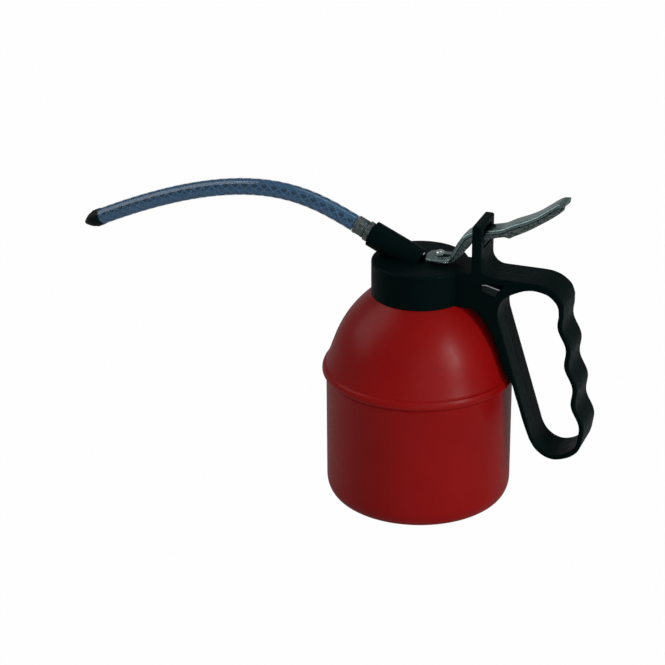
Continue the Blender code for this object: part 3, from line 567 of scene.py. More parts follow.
HOSE_START = BOSS_FACE + BOSS_DIR * (COLLAR_LENGTH + FERRULE_LENGTH + 3 * SEAT_GAP)
HOSE_END = BOSS_FACE - Vector((HOSE_REACH, 0, HOSE_FALL))
START_PULL, END_PULL = 0.0267, 0.0956
HOSE_STEPS, WALL_SIDES, LINING_SIDES = 140, 40, 32
LINING_R, LINING_GAP = 0.00365, 0.0002
BRAID_R, BRAID_STEP, BRAID_PITCH, BRAID_STRANDS = 0.00378, 0.00006, 0.0300, 6
THREAD_THICK, THREAD_WIDTH, THREAD_SIDES = 0.00016, 0.00050, 6  # half sizes


def hose_rows():
    """(point, up, across) rows along the hose's centre line, a curve between two end directions."""
    lead = HOSE_START + BOSS_DIR * START_PULL
    tail = HOSE_END - NOZZLE_DIR * END_PULL
    rows = []
    for i in range(HOSE_STEPS + 1):
        t = i / HOSE_STEPS
        u = 1 - t
        point = u ** 3 * HOSE_START + 3 * u * u * t * lead + 3 * u * t * t * tail + t ** 3 * HOSE_END
        slope = 3 * u * u * (lead - HOSE_START) + 6 * u * t * (tail - lead) + 3 * t * t * (HOSE_END - tail)
        along = slope.normalized()
        rows.append((point, Vector((along.z, 0, -along.x)), Vector((0, 1, 0))))
    return rows


def open_tube(name, rows, outer_radius, inner_radius, sides, material):
    """A tube with a bore and flat ends."""
    form = bmesh.new()
    outer, inner = [
        sweep(form, [(point, up * radius, across * radius) for point, up, across in rows], sides)
        for radius in (outer_radius, inner_radius)
    ]
    for end in (0, -1):
        joined(form, outer[end], inner[end])
    return made_object(name, form, material, 60)


def thread(form, rows, way, strand):
    """One thread of the braid, wound round the lining one way or the other."""
    radius = BRAID_R + BRAID_STEP * way
    path, gone = [], 0.0
    for i, (point, up, across) in enumerate(rows):
        if i:
            gone += (point - rows[i - 1][0]).length
        angle = way * math.tau * gone / BRAID_PITCH + math.tau * strand / BRAID_STRANDS
        out = up * math.cos(angle) + across * math.sin(angle)
        path.append((point + out * radius, out))
    line = []
    for (before, _), (point, out), (after, _) in zip(path, path[1:], path[2:]):
        flat = out.cross((after - before).normalized()).normalized()
        line.append((point, out * THREAD_THICK, flat * THREAD_WIDTH))
    rings = sweep(form, line, THREAD_SIDES)
    capped(form, rings[0], rings[-1])


def make_hose():
    rows = hose_rows()
    skin = open_tube("hose_wall", rows, HOSE_R, HOSE_BORE, WALL_SIDES, "hose_skin")
    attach(skin, "head")
    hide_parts("spout_hose")
    core = open_tube("hose_lining", rows[1:-1], LINING_R, HOSE_BORE + LINING_GAP, LINING_SIDES, "hose_core")
    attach(core, "head")
    form = bmesh.new()
    for way in (1, -1):
        for strand in range(BRAID_STRANDS):
            thread(form, rows, way, strand)
    braid = made_object("hose_braid", form, "hose_thread", 80)
    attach(braid, "head")


make_hose()


# Pump head
CAP_R, CAP_BORE, CAP_ROUND = edge("pump_head", HIGH, Y), NECK_R + 0.0006, 0.0012
POST_T, POST_TOP, POST_ROUND, POST_FILLET = 0.0046, edge("pump_head", HIGH, Z), 0.0010, 0.0065
POST_X = PIN_X - POST_T / 2
REAR_X = POST_X + POST_T
REACH, DROP = 0.0565, CAP_TOP - edge("pump_head", LOW, Z)
ARM_Z = CAP_TOP - 0.0008
ARM_LEAD = ((-0.0070, 0), (-0.0034, -0.00006))  # from the arm's corner and top
ROOT_DEPTH, ROOT_SINK, SINK = 0.0184, 0.00005, 0.0004
WEB_HALF, WINDOW_HALF, WINDOW_REACH, POCKET_ROUND = 0.0025, 0.0060, 0.0049, 0.0010
PLATE_ROUND, ROUND_STEPS = 0.0008, 4
GRIP_X, GRIP_TOP = POST_X + 0.0434, CAP_TOP - 0.0156
GRIP_HEIGHT, GRIP_LEAN, GRIP_THICK, GRIP_STEPS = 0.0600, 0.199, 0.00245, 60
WAVE, WAVE_LENGTH, WAVE_LEAD = 0.00112, 0.01955, 0.0157
HEAD_STEPS, HOLE_STEPS, BOSS_STEPS = 192, 48, 96
BOSS_R, BOSS_BACK_EDGE, BOSS_EDGE = 0.0064, 0.0003, 0.0006
PLUG_R, PLUG_RISE, PLUG_SINK = edge("channel_plug", HIGH, Y), 0.0043, 0.0003
SOCKET_R, SOCKET_DEPTH, SOCKET_CUT = 0.0032, 0.0090, 0.0120
BARREL_R, BARREL_COLLAR_WALL, BARREL_COLLAR_DEPTH = edge("pump_cylinder", HIGH, Y), 0.0014, 0.0080
GLAND_R, ROD_HOLE_R, GLAND_LIP = edge("rod_seal", HIGH, Y) + SEAT_GAP, 0.0019, 0.0008
PIN_R, PIN_WALL = 0.0015, 0.0020
HEAD_SHARP = 32
# Shares of the handle's reach and drop, from the post's front at the cap's top
GUSSET = (
    (0.000, 0.196), (0.088, 0.236), (0.177, 0.317), (0.241, 0.408),
    (0.299, 0.518), (0.371, 0.594), (0.402, 0.655), (0.437, 0.722),
    (0.469, 0.787), (0.502, 0.846),
)
FOOT = (
    (0.536, 0.901), (0.582, 0.947), (0.641, 0.979), (0.706, 0.997),
    (0.772, 0.999), (0.848, 0.985), (0.913, 0.962), (0.964, 0.928), (0.990, 0.881),
)
HOLE_FOOT = (
    (0.951, 0.875), (0.933, 0.908), (0.890, 0.938), (0.828, 0.963),
    (0.758, 0.976), (0.701, 0.973), (0.646, 0.958), (0.593, 0.928),
    (0.557, 0.888), (0.534, 0.843),
)
HOLE_TOP = (
    (0.241, 0.244), (0.234, 0.205), (0.243, 0.166), (0.272, 0.128),
    (0.329, 0.096), (0.395, 0.073), (0.462, 0.056), (0.529, 0.049),
    (0.596, 0.053), (0.665, 0.067), (0.726, 0.102), (0.749, 0.134),
)
CORNER = ((0.620, 0.0145), (0.690, 0.031), (0.764, 0.069), (0.797, 0.120))
POCKET = ((0.087, 0.040), (0.087, 0.091), (0.214, 0.116), (0.235, 0.080), (0.290, 0.040))
# Metres from the post's front at the cap's top
LUG = ((0.0072, -0.0044), (0.0142, -0.0062), (0.0146, -0.0067), (0.0131, -0.0073),
       (0.0120, -0.0102), (0.0051, -0.0081), (0.0051, -0.0047))
LUG_IN, LUG_OUT, LUG_ROUND = 0.0026, 0.0103, 0.0004


def by_handle(table):
    """(x, z) points from shares of the handle's reach and drop."""
    return [(POST_X + REACH * share[0], CAP_TOP - DROP * share[1]) for share in table]


def grip(side):
    """The wavy band's outer (side 1) or inner (side -1) line, from its top to its foot."""
    points = []
    for i in range(GRIP_STEPS + 1):
        below = GRIP_HEIGHT * i / GRIP_STEPS
        wave = WAVE * math.cos(math.tau * (below - WAVE_LEAD) / WAVE_LENGTH)
        points.append((GRIP_X + GRIP_LEAN * below + wave + side * GRIP_THICK / 2, GRIP_TOP - below))
    return points


def inset(loop, depth, inward):
    """A closed line of points moved by depth, to its left where inward is 1."""
    out = []
    for i, point in enumerate(loop):
        here = Vector(point)
        before = (here - Vector(loop[i - 1])).normalized()
        after = (Vector(loop[(i + 1) % len(loop)]) - here).normalized()
        start = Vector((-before.y, before.x)) * inward
        end = Vector((-after.y, after.x)) * inward
        out.append(here + (start + end) * depth / (1 + start.dot(end)))
    return out


def area(loop):
    return sum(a[0] * b[1] - b[0] * a[1] for a, b in zip(loop, loop[1:] + loop[:1])) / 2


def rounded_plate(name, outline, hole, half, radius, steps):
    """A plate across Y with a hole and rounded rims."""
    form = bmesh.new()
    rims = {}
    for side in (-1, 1):
        for turn, loop in ((1, outline), (-1, hole)):
            inward = turn if area(loop) > 0 else -turn
            rows = []
            for k in range(steps + 1):
                angle = math.pi / 2 * k / steps
                y = side * (half - radius * (1 - math.sin(angle)))
                line = inset(loop, radius * (1 - math.cos(angle)), inward)
                rows.append([form.verts.new((x, y, z)) for x, z in line])
            for low, high in zip(rows, rows[1:]):
                joined(form, low, high)
            rims[side, turn] = rows
        corners = rims[side, 1][-1] + rims[side, -1][-1]
        flat = [[v.co.xz.to_3d() for v in rims[side, turn][-1]] for turn in (1, -1)]
        for triangle in tessellate_polygon(flat):
            form.faces.new([corners[i] for i in triangle])
    for turn in (1, -1):
        joined(form, rims[-1, turn][0], rims[1, turn][0])
    return made_object(name, form, "head_black")


def prism(name, outline, low, high, material="head_black"):
    """An outline in X and Z, drawn out across Y."""
    form = bmesh.new()
    near, far = [[form.verts.new((x, y, z)) for x, z in outline] for y in (low, high)]
    capped(form, near, far)
    joined(form, near, far)
    return made_object(name, form, material)


def settle(target):
    """The object's modifiers become its mesh."""
    shape = target.evaluated_get(bpy.context.evaluated_depsgraph_get())
    mesh = bpy.data.meshes.new_from_object(shape)
    target.modifiers.clear()
    target.data = mesh


def boolean(target, tool, operation="DIFFERENCE"):
    step = target.modifiers.new(tool.name, "BOOLEAN")
    step.operation, step.object, step.solver = operation, tool, "MANIFOLD"
    settle(target)
    bpy.data.objects.remove(tool)


def rounded(target, width):
    step = target.modifiers.new("edges", "BEVEL")
    step.width, step.segments = width, 4
    step.limit_method, step.angle_limit = "ANGLE", math.radians(20)
    step.use_clamp_overlap = False
    settle(target)


def even_shading(target, sharp):
    shaded(target, sharp)
    step = target.modifiers.new("shade", "WEIGHTED_NORMAL")
    step.keep_sharp = True


def make_lugs():
    """A lug that fills the lower part of the pocket on each side of the post."""
    outline = [(POST_X + x, CAP_TOP + z) for x, z in LUG]
    for name, low, high in (("lug_near", -LUG_OUT, -LUG_IN), ("lug_far", LUG_IN, LUG_OUT)):
        # The lugs' upper edges carry a painted highlight.
        lug = prism(name, outline, low, high, "lug_black_painted_highlight")
        rounded(lug, LUG_ROUND)
        shaded(lug, HEAD_SHARP)
        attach(lug, "head")


def handle_lines():
    """The outlines of the post, arm, grip and gusset, and of the hand hole."""
    outline = [(0, CAP_TOP - ROOT_DEPTH), (0, CAP_TOP - ROOT_SINK), (POST_X, CAP_TOP - ROOT_SINK)]
    outline += arc(POST_X + POST_ROUND, POST_TOP - POST_ROUND, POST_ROUND, math.pi, math.pi / 2, 4)
    outline += arc(REAR_X - POST_ROUND, POST_TOP - POST_ROUND, POST_ROUND, math.pi / 2, 0, 4)
    outline += arc(REAR_X + POST_FILLET, ARM_Z + POST_FILLET, POST_FILLET, math.pi, math.pi * 1.5, 14)
    corner = by_handle(CORNER)
    lead = [(corner[0][0] + x, ARM_Z + z) for x, z in ARM_LEAD]
    outline += flowing([*lead, *corner], FLOW_STEPS)
    outline += grip(1)
    outline += flowing(by_handle(reversed(FOOT)), FLOW_STEPS)
    outline += flowing(by_handle(reversed(GUSSET)), FLOW_STEPS)
    hole = flowing(by_handle(HOLE_TOP), FLOW_STEPS) + grip(-1) + flowing(by_handle(HOLE_FOOT), FLOW_STEPS)
    return outline, hole


def cut_post(head):
    """The pockets in the post's sides and the window that the lever goes through."""
    for side in (-1, 1):
        ends = sorted((side * WEB_HALF, side * (HALF_W + CUT_OVER)))
        pocket = prism("pocket_tool", by_handle(POCKET), *ends)
        rounded(pocket, POCKET_ROUND)
        boolean(head, pocket)
    front, rear = POST_X - CUT_OVER, REAR_X + CUT_OVER
    sill, lintel = PIN_Z - WINDOW_REACH, PIN_Z + WINDOW_REACH
    window = [(front, sill), (rear, sill), (rear, lintel), (front, lintel)]
    boolean(head, prism("window_tool", window, -WINDOW_HALF, WINDOW_HALF))


def add_cap_and_boss(head):
    cap = [(0, ARC_Z), (CAP_R, ARC_Z)]
    cap += arc(CAP_R - CAP_ROUND, CAP_TOP - CAP_ROUND, CAP_ROUND, 0, math.pi / 2, 8)
    boolean(head, lathe("cap_tool", cap + [(0, CAP_TOP)], "head_black", HEAD_STEPS), "UNION")
    boss = [(0, 0), (BOSS_R - BOSS_BACK_EDGE, 0), (BOSS_R, BOSS_BACK_EDGE), (BOSS_R, BOSS_LENGTH - BOSS_EDGE)]
    boss += [(BOSS_R - 0.30 * BOSS_EDGE, BOSS_LENGTH - 0.25 * BOSS_EDGE)]
    boss += [(BOSS_R - BOSS_EDGE, BOSS_LENGTH), (0, BOSS_LENGTH)]
    boolean(head, lathe("boss_tool", boss, "head_black", BOSS_STEPS, BOSS_END, BOSS_DIR), "UNION")


def seat_plug(head):
    form = bmesh.new()
    bmesh.ops.create_uvsphere(form, u_segments=32, v_segments=24, radius=PLUG_R + SEAT_GAP)
    place = BOSS_END + BOSS_UP * PLUG_RISE + BOSS_DIR * PLUG_SINK
    bmesh.ops.translate(form, verts=form.verts, vec=place)
    boolean(head, made_object("plug_tool", form, "head_black"))


def hollow_head(head):
    """The room for the neck and dome, the barrel's collar, and the holes for gland, fitting and pin."""
    hollow = [(0, PLATE_Z), (0, 0), (dome_radius(DOME_FOOT_Z, SEAT_GAP), 0)]
    hollow += reversed(dome_line(CAP_BORE, DOME_FOOT_Z, SEAT_GAP, 30))
    boolean(head, lathe("hollow_tool", hollow + [(CAP_BORE, PLATE_Z)], "head_black", HEAD_STEPS))
    bore, foot, top = BARREL_R + SEAT_GAP, PLATE_Z - BARREL_COLLAR_DEPTH, PLATE_Z + SINK
    outer = bore + BARREL_COLLAR_WALL
    collar = [(bore, foot), (outer, foot), (outer, top), (bore, top)]
    boolean(head, lathe("collar_tool", collar, "head_black", 64, (PLUNGER_X, 0, 0)), "UNION")
    low, lip, high = PLATE_Z - CUT_OVER, PLATE_Z + GLAND_LIP, CAP_TOP + CUT_OVER
    gland = [(0, low), (ROD_HOLE_R, low), (ROD_HOLE_R, lip), (GLAND_R, lip), (GLAND_R, high), (0, high)]
    boolean(head, lathe("gland_tool", gland, "head_black", HOLE_STEPS, (PLUNGER_X, 0, 0)))
    socket = [(0, 0), (SOCKET_R, 0), (SOCKET_R, SOCKET_CUT), (0, SOCKET_CUT)]
    place = BOSS_FACE - BOSS_DIR * SOCKET_DEPTH
    boolean(head, lathe("socket_tool", socket, "head_black", HOLE_STEPS, place, BOSS_DIR))
    near, far = PIN_WALL - HALF_W, HALF_W + CUT_OVER
    pin = [(0, near), (PIN_R + SEAT_GAP, near), (PIN_R + SEAT_GAP, far), (0, far)]
    boolean(head, lathe("pin_tool", pin, "head_black", HOLE_STEPS, (PIN_X, 0, PIN_Z), (0, 1, 0)))


def make_head():
    outline, hole = handle_lines()
    head = rounded_plate("head_moulding", outline, hole, HALF_W, PLATE_ROUND, ROUND_STEPS)
    cut_post(head)
    add_cap_and_boss(head)
    seat_plug(head)
    hollow_head(head)
    even_shading(head, HEAD_SHARP)
    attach(head, "head")
    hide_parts("pump_head")


make_head()
make_lugs()


# Fitting, nozzle, plunger cap and spring
FITTING_STEPS = 144
NIPPLE_BORE, SHANK_R, SHANK_LENGTH, SHANK_EDGE = 0.0011, 0.0029, 0.0070, 0.0002
COLLAR_R, COLLAR_EDGE, COLLAR_MIDDLE = 0.0050, 0.0004, 0.0012
KNURLS, KNURL_DEPTH, KNURL_END_DEPTH = 18, 0.0004, 0.0003
BARB_R, BARB_TIP_R, BARB_TIP = 0.00185, 0.0015, 0.0010
FERRULE_R, FERRULE_RIM_R, FERRULE_EDGE, FERRULE_ROWS = 0.00445, 0.0042, 0.0003, 12
CRIMP_DEPTH, CRIMPS, CRIMP_LEAD, CRIMP_SHARE = 0.00050, 9, 0.18, 0.64
STEM_LENGTH, NOZZLE_BORE, NOZZLE_TIP_R = 0.0110, 0.0007, 0.0008
NOZZLE_LENGTH, NOZZLE_STEP, NOZZLE_SPREAD, NOZZLE_SWELL, NOSE_STEPS = 0.0070, 0.0006, 0.00315, 1.7, 24
SKIRT_LENGTH, SKIRT_GAP, SKIRT_LIP = 0.0034, 0.00001, 0.0003
SKIRT_LIP_R, SKIRT_R, SKIRT_END_R, SKIRT_END = 0.00422, 0.00430, 0.00428, 0.0004
CAP_LOW = edge("plunger_head", LOW, Z)
DOME_R = edge("plunger_head", HIGH, X) - PLUNGER_X
DOME_HEIGHT, DOME_STRAIGHT, DOME_EDGE = 0.0024, 0.0008, 0.0002
DOME_BORE, DOME_BORE_DEPTH, DOME_ARC_STEPS = 0.0013, 0.0015, 16
SPRING_R, SPRING_WIRE, SPRING_TURNS, TURN_POINTS, WIRE_SIDES = 0.0032, 0.00035, 7, 32, 12


def stand_in(name, node, body, material, profile, steps=96, place=(0, 0, 0), direction=(0, 0, 1)):
    """A smooth turned piece in a solid's stead."""
    made = lathe(name, profile, material, steps, place, direction)
    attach(made, body)
    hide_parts(node)


def make_nipple():
    low, high = SEAT_GAP, SEAT_GAP + COLLAR_LENGTH
    barb = high + SEAT_GAP + FERRULE_LENGTH + BARB_LENGTH
    rows = [(NIPPLE_BORE, -SHANK_LENGTH), (SHANK_R - SHANK_EDGE, -SHANK_LENGTH)]
    rows += [(SHANK_R, SHANK_EDGE - SHANK_LENGTH), (SHANK_R, low), (COLLAR_R - COLLAR_EDGE, low)]
    rows += [(COLLAR_R, low + COLLAR_EDGE, KNURL_END_DEPTH, KNURLS)]
    rows += [(COLLAR_R, low + COLLAR_MIDDLE, KNURL_DEPTH, KNURLS)]
    rows += [(COLLAR_R, high - COLLAR_EDGE, KNURL_END_DEPTH, KNURLS), (COLLAR_R - COLLAR_EDGE, high)]
    rows += [(BARB_R, high), (BARB_R, barb - BARB_TIP), (BARB_TIP_R, barb), (NIPPLE_BORE, barb)]
    stand_in("nipple_turned", "spout_nipple", "head", "fitting_zinc", rows,
             FITTING_STEPS, BOSS_FACE, BOSS_DIR)


def make_ferrule():
    start = COLLAR_LENGTH + 2 * SEAT_GAP
    end = start + FERRULE_LENGTH
    rows = [(HOSE_BORE, start), (FERRULE_RIM_R, start), (FERRULE_R, start + FERRULE_EDGE)]
    for i in range(1, FERRULE_ROWS):
        share = i / FERRULE_ROWS
        crimp = min(1, max(0, (share - CRIMP_LEAD) / CRIMP_SHARE))
        dent = CRIMP_DEPTH * max(0, math.sin(math.pi * crimp)) ** 0.5
        height = start + FERRULE_EDGE + (FERRULE_LENGTH - 2 * FERRULE_EDGE) * share
        rows.append((FERRULE_R, height, dent, CRIMPS))
    rows += [(FERRULE_R, end - FERRULE_EDGE), (FERRULE_RIM_R, end), (HOSE_BORE, end)]
    stand_in("ferrule_crimped", "spout_ferrule", "head", "fitting_zinc", rows,
             FITTING_STEPS, BOSS_FACE, BOSS_DIR)


def make_nozzle():
    """The nose, the stem in the hose, and a skirt over the hose's end."""
    step, skirt, cover = SEAT_GAP + NOZZLE_STEP, SEAT_GAP - SKIRT_LENGTH, HOSE_R + SKIRT_GAP
    rows = [(NOZZLE_BORE, -STEM_LENGTH), (BARB_R, -STEM_LENGTH), (BARB_R, SEAT_GAP), (cover, SEAT_GAP)]
    rows += [(cover, skirt), (SKIRT_LIP_R, skirt), (SKIRT_R, skirt + SKIRT_LIP)]
    rows += [(SKIRT_END_R, SEAT_GAP + SKIRT_END)]
    for i in range(NOSE_STEPS + 1):
        share = i / NOSE_STEPS
        radius = NOZZLE_TIP_R + NOZZLE_SPREAD * (1 - share ** NOZZLE_SWELL)
        rows.append((radius, step + (NOZZLE_LENGTH - NOZZLE_STEP) * share))
    rows += [(NOZZLE_BORE, SEAT_GAP + NOZZLE_LENGTH)]
    stand_in("nozzle_turned", "spout_nozzle", "head", "nozzle_grey", rows,
             96, HOSE_END, NOZZLE_DIR)


def make_plunger_cap():
    rise = DOME_HEIGHT - DOME_STRAIGHT
    turns = [math.pi / 2 * i / DOME_ARC_STEPS for i in range(DOME_ARC_STEPS)]
    rows = [(DOME_BORE, CAP_LOW), (DOME_R - DOME_EDGE, CAP_LOW), (DOME_R, CAP_LOW + DOME_EDGE)]
    rows += [(DOME_R * math.cos(a), CAP_LOW + DOME_STRAIGHT + rise * math.sin(a)) for a in turns]
    rows += [(0, CAP_LOW + DOME_HEIGHT), (0, CAP_LOW + DOME_BORE_DEPTH)]
    rows += [(DOME_BORE, CAP_LOW + DOME_BORE_DEPTH)]
    stand_in("plunger_dome", "plunger_head", "plunger", "plunger_polish", rows,
             64, (PLUNGER_X, 0, 0))


def make_spring():
    """The return spring round the rod; the real one shortens as the lever is pressed."""
    low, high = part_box("return_spring")
    start, end = low[2] + SPRING_WIRE, high[2] - SPRING_WIRE
    points = SPRING_TURNS * TURN_POINTS
    rows = []
    for i in range(points + 1):
        angle = math.tau * i / TURN_POINTS
        out = Vector((math.cos(angle), math.sin(angle), 0))
        centre = Vector((PLUNGER_X, 0, start + (end - start) * i / points))
        rows.append((centre + out * SPRING_R, out * SPRING_WIRE, Vector((0, 0, SPRING_WIRE))))
    form = bmesh.new()
    rings = sweep(form, rows, WIRE_SIDES)
    capped(form, rings[0], rings[-1])
    spring = made_object("spring_coil", form, "bright_steel", 50)
    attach(spring, "plunger")
    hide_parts("return_spring")
    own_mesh(spring)


make_nipple()
make_ferrule()
make_nozzle()
make_plunger_cap()
make_spring()


# Lever
FRONT_REACH, FRONT_DROP = PIN_X - PLUNGER_X, PIN_Z - TONGUE_Z
LEVER_REACH, LEVER_RISE = 0.0415, 0.0217
LEVER_HALF, TONGUE_HALF, SHEET, BEND, CROWN = 0.0056, 0.0065, 0.0012, 0.0012, 0.00015
INNER_BEND, SHEET_EDGE = 0.0003, 0.0002
GROOVE, GROOVE_LEAST_DEPTH = 0.0005, 0.0030
# How far under the bend the groove ends, is deepest and starts, each with its most share of the flank
GROOVE_PLACES = ((0.0010, 0.7), (0.0007, 0.5), (0.0004, 0.3))
TOP_FACES = range(3, 21)
LEVER_STEPS, LEVER_SHARP = 6, 40
LEVER_HOLE_R, HOLE_REACH = 0.0017, 0.0100
SLOT_FRONT, SLOT_REAR, SLOT_HALF, SLOT_REACH = 0.0018, 0.0055, 0.0018, 0.0056
# Shares of the front's reach, drop and half width at the top and low lines, from the pin
FRONT = (
    ((-1.314, -1.015), (-1.314, -1.114), 0.45), ((-1.285, -1.010), (-1.285, -1.109), 0.76),
    ((-1.235, -1.005), (-1.235, -1.104), 0.94), ((-1.150, -1.000), (-1.150, -1.099), 1.00),
    ((-0.976, -1.000), (-0.971, -1.099), 1.00), ((-0.845, -1.000), (-0.821, -1.099), 1.00),
    ((-0.768, -0.974), (-0.710, -1.088), 0.86), ((-0.710, -0.893), (-0.594, -1.022), 0.86),
    ((-0.670, -0.750), (-0.495, -0.870), 0.86), ((-0.600, -0.537), (-0.390, -0.700), 0.86),
    ((-0.510, -0.279), (-0.296, -0.450), 0.86), ((-0.392, -0.030), (-0.236, -0.310), 0.86),
    ((-0.266, 0.100), (-0.188, -0.257), 0.86), ((-0.135, 0.196), (-0.111, -0.272), 0.86),
)
# Shares of the lever's reach and rise at the top and low lines, from the pin
REAR = (
    ((0.000, 0.152), (0.000, -0.175)), ((0.070, 0.171), (0.060, -0.152)),
    ((0.130, 0.192), (0.120, -0.010)), ((0.243, 0.249), (0.272, 0.083)),
    ((0.320, 0.327), (0.342, 0.074)), ((0.373, 0.382), (0.400, 0.134)),
    ((0.528, 0.516), (0.561, 0.304)), ((0.646, 0.645), (0.696, 0.475)),
    ((0.766, 0.816), (0.812, 0.631)), ((0.882, 0.972), (0.901, 0.765)),
    ((0.970, 1.000), (0.960, 0.876)),
)


def lever_section(top, bottom, half):
    """A U-shaped section between a top and a bottom point, across Y, with a groove in its flanks."""
    down = Vector((bottom[0] - top[0], 0, bottom[1] - top[1]))
    depth = down.length
    down.normalize()
    bend = min(BEND, depth * 0.8)
    inner = half - SHEET
    room = depth - SHEET_EDGE - bend
    groove = GROOVE if depth > GROOVE_LEAST_DEPTH else 0.0
    dents = (0.0, groove, 0.0)
    outside = [(half - SHEET_EDGE, depth), (half, depth - SHEET_EDGE)]
    outside += [(half - dent, bend + min(down_by, room * share))
                for dent, (down_by, share) in zip(dents, GROOVE_PLACES)]
    outside += arc(half - bend, bend, bend, 0, -math.pi / 2, 6)
    floor = SHEET + INNER_BEND
    inside = arc(inner - INNER_BEND, floor, INNER_BEND, -math.pi / 2, 0, 2)
    inside += [(inner, max(depth - SHEET_EDGE, floor)), (inner + SHEET_EDGE, max(depth, floor))]
    loop = outside + [(0, -CROWN)] + [(-y, s) for y, s in reversed(outside)]
    loop += [(-y, s) for y, s in reversed(inside)] + inside
    start = Vector((top[0], 0, top[1]))
    return [start + down * s + Vector((0, y, 0)) for y, s in loop]


def lever_stations():
    """(top x, top z, low x, low z, half width) rows from the tongue to the thumb's end."""
    front = [
        (PIN_X + FRONT_REACH * top[0], PIN_Z + FRONT_DROP * top[1],
         PIN_X + FRONT_REACH * low[0], PIN_Z + FRONT_DROP * low[1], TONGUE_HALF * width)
        for top, low, width in FRONT
    ]
    rear = [
        (PIN_X + LEVER_REACH * top[0], PIN_Z + LEVER_RISE * top[1],
         PIN_X + LEVER_REACH * low[0], PIN_Z + LEVER_RISE * low[1], LEVER_HALF)
        for top, low in REAR
    ]
    return flowing(front + rear, LEVER_STEPS)


def slot_tool():
    """The cutter for the tongue's slot, which the plunger stands in."""
    slot = arc(PLUNGER_X - SLOT_FRONT + SLOT_HALF, 0, SLOT_HALF, math.pi / 2, math.pi * 1.5, 12)
    slot += arc(PLUNGER_X + SLOT_REAR - SLOT_HALF, 0, SLOT_HALF, -math.pi / 2, math.pi / 2, 12)
    form = bmesh.new()
    floor, roof = [[form.verts.new((x, y, z)) for x, y in slot]
                   for z in (TONGUE_Z - SLOT_REACH, TONGUE_Z + SLOT_REACH)]
    capped(form, floor, roof)
    joined(form, floor, roof)
    return made_object("slot_tool", form, "lever_chrome")


def make_lever():
    form = bmesh.new()
    rings = [
        [form.verts.new(point) for point in lever_section((x, z), (low_x, low_z), half)]
        for x, z, low_x, low_z, half in lever_stations()
    ]
    for before, after in zip(rings, rings[1:]):
        joined(form, before, after)
    # The flank faces take the chrome whose darker colour is painted shade.
    for i, face in enumerate(form.faces):
        face.material_index = 0 if i % len(rings[0]) in TOP_FACES else 1
    capped(form, rings[0], rings[-1])
    lever = made_object("lever_pressing", form, "lever_chrome", LEVER_SHARP)
    lever.data.materials.append(MAT["lever_flank_painted_shade"])
    hole = [(0, -HOLE_REACH), (LEVER_HOLE_R, -HOLE_REACH), (LEVER_HOLE_R, HOLE_REACH), (0, HOLE_REACH)]
    boolean(lever, lathe("hole_tool", hole, "lever_chrome", HOLE_STEPS, (PIN_X, 0, PIN_Z), (0, 1, 0)))
    boolean(lever, slot_tool())
    even_shading(lever, LEVER_SHARP)
    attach(lever, "lever")
    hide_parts("pump_lever")


make_lever()


# Stage, lights and camera
FLOOR_HALF, FLOOR_DROP = 3.0, 0.0002
LAMP_DISTANCE, LAMP_AIM = 0.9, Vector((0, 0, 0.08))
CAMERA_TURN, CAMERA_RISE, CAMERA_ROLL = 20.99, 24.49, -0.46  # degrees
CAMERA_AIM, CAMERA_DISTANCE = Vector((-0.044846, 0, 0.076060)), 1.075659
SENSOR, FOCAL_PIXELS, PHOTO_PIXELS = 36, 2200, 665


def backdrop_share(tree, bright, glossy):
    """How much of the pale backdrop a ray shows: bright for the camera's rays and
    those through glass, and glossy for reflections."""
    path = tree.nodes.new("ShaderNodeLightPath")
    seen, most, some = [tree.nodes.new("ShaderNodeMath") for _ in range(3)]
    seen.operation, most.operation, some.operation = "MAXIMUM", "MULTIPLY", "MULTIPLY_ADD"
    most.inputs[1].default_value = bright
    some.inputs[1].default_value = glossy
    tree.links.new(path.outputs["Is Camera Ray"], seen.inputs[0])
    tree.links.new(path.outputs["Is Transmission Ray"], seen.inputs[1])
    tree.links.new(seen.outputs[0], most.inputs[0])
    tree.links.new(path.outputs["Is Glossy Ray"], some.inputs[0])
    tree.links.new(most.outputs[0], some.inputs[2])
    return some.outputs[0]


def make_floor():
    form = bmesh.new()
    bmesh.ops.create_grid(form, x_segments=1, y_segments=1, size=FLOOR_HALF)
    mesh = bpy.data.meshes.new("floor")
    form.to_mesh(mesh)
    form.free()
    floor = bpy.data.objects.new("floor", mesh)
    bpy.context.scene.collection.objects.link(floor)
    floor.location = (0, 0, -FLOOR_DROP)
    material = bpy.data.materials.new("floor_white")
    material.use_nodes = True
    tree = material.node_tree
    shader = tree.nodes["Principled BSDF"]
    shader.inputs["Base Color"].default_value = (0.42, 0.42, 0.42, 1)
    shader.inputs["Roughness"].default_value = 0.8
    glow = tree.nodes.new("ShaderNodeEmission")
    mix = tree.nodes.new("ShaderNodeMixShader")
    tree.links.new(backdrop_share(tree, 0.985, 0.10), mix.inputs["Fac"])
    tree.links.new(shader.outputs[0], mix.inputs[1])
    tree.links.new(glow.outputs[0], mix.inputs[2])
    tree.links.new(mix.outputs[0], tree.nodes["Material Output"].inputs["Surface"])
    mesh.materials.append(material)


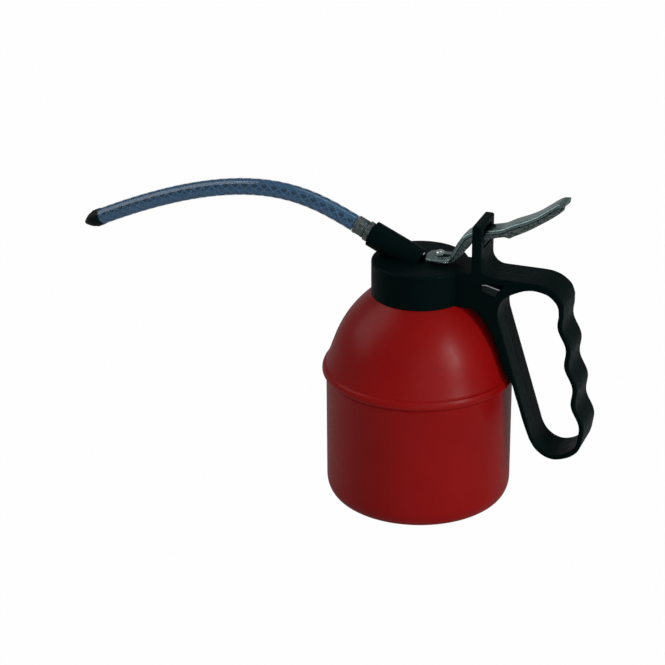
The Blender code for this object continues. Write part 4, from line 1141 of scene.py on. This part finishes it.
def make_world():
    world = bpy.data.worlds.new("studio")
    bpy.context.scene.world = world
    world.use_nodes = True
    tree = world.node_tree
    colour = tree.nodes.new("ShaderNodeMix")
    colour.data_type = "RGBA"
    colour.inputs["A"].default_value = (0.07, 0.085, 0.085, 1)
    colour.inputs["B"].default_value = (1, 1, 1, 1)
    tree.links.new(backdrop_share(tree, 1.0, 0.10), colour.inputs["Factor"])
    tree.links.new(colour.outputs["Result"], tree.nodes["Background"].inputs["Color"])


def box_lamp(name, azimuth, rise, size, power):
    """A soft box that faces the can, azimuth in degrees from the front towards +X."""
    turn, lift = math.radians(azimuth), math.radians(rise)
    away = Vector((math.sin(turn) * math.cos(lift), -math.cos(turn) * math.cos(lift), math.sin(lift)))
    light = bpy.data.lights.new(name, "AREA")
    light.shape = "RECTANGLE"
    light.size, light.size_y = size
    light.energy = power
    made = bpy.data.objects.new(name, light)
    bpy.context.scene.collection.objects.link(made)
    made.location = LAMP_AIM + away * LAMP_DISTANCE
    made.rotation_euler = (LAMP_AIM - made.location).to_track_quat("-Z", "Y").to_euler()
    return made


def make_camera():
    """A camera at the photograph's angle, turned about its aim and slightly rolled."""
    camera = bpy.data.objects.new("camera", bpy.data.cameras.new("camera"))
    bpy.context.scene.collection.objects.link(camera)
    turn = Matrix.Rotation(math.radians(CAMERA_TURN), 4, "Z")
    tilt = Matrix.Rotation(math.radians(90 - CAMERA_RISE), 4, "X")
    roll = Matrix.Rotation(math.radians(CAMERA_ROLL), 4, "Z")
    back = Matrix.Translation((0, 0, CAMERA_DISTANCE))
    camera.matrix_world = Matrix.Translation(CAMERA_AIM) @ turn @ tilt @ back @ roll
    camera.data.sensor_width = SENSOR
    camera.data.lens = FOCAL_PIXELS / PHOTO_PIXELS * SENSOR
    camera.data.clip_start, camera.data.clip_end = 0.01, 20
    bpy.context.scene.camera = camera


make_floor()
make_world()
box_lamp("right_box", 67, 26, (0.13, 0.42), 1.7)
box_lamp("front_fill", 42, 16, (1.10, 0.70), 2.1).visible_glossy = False
box_lamp("left_box", -78, 36, (0.60, 0.70), 1.3)
box_lamp("top_box", 160, 76, (0.50, 0.30), 0.35)
box_lamp("back_box", -148, 4, (0.70, 0.30), 0.09).visible_diffuse = False
box_lamp("crest_box", -88, 59, (0.16, 0.12), 0.10).visible_diffuse = False
box_lamp("rear_fill", 195, 22, (0.90, 0.60), 0.9).visible_glossy = False
make_camera()
bpy.context.scene.view_settings.view_transform = "Standard"
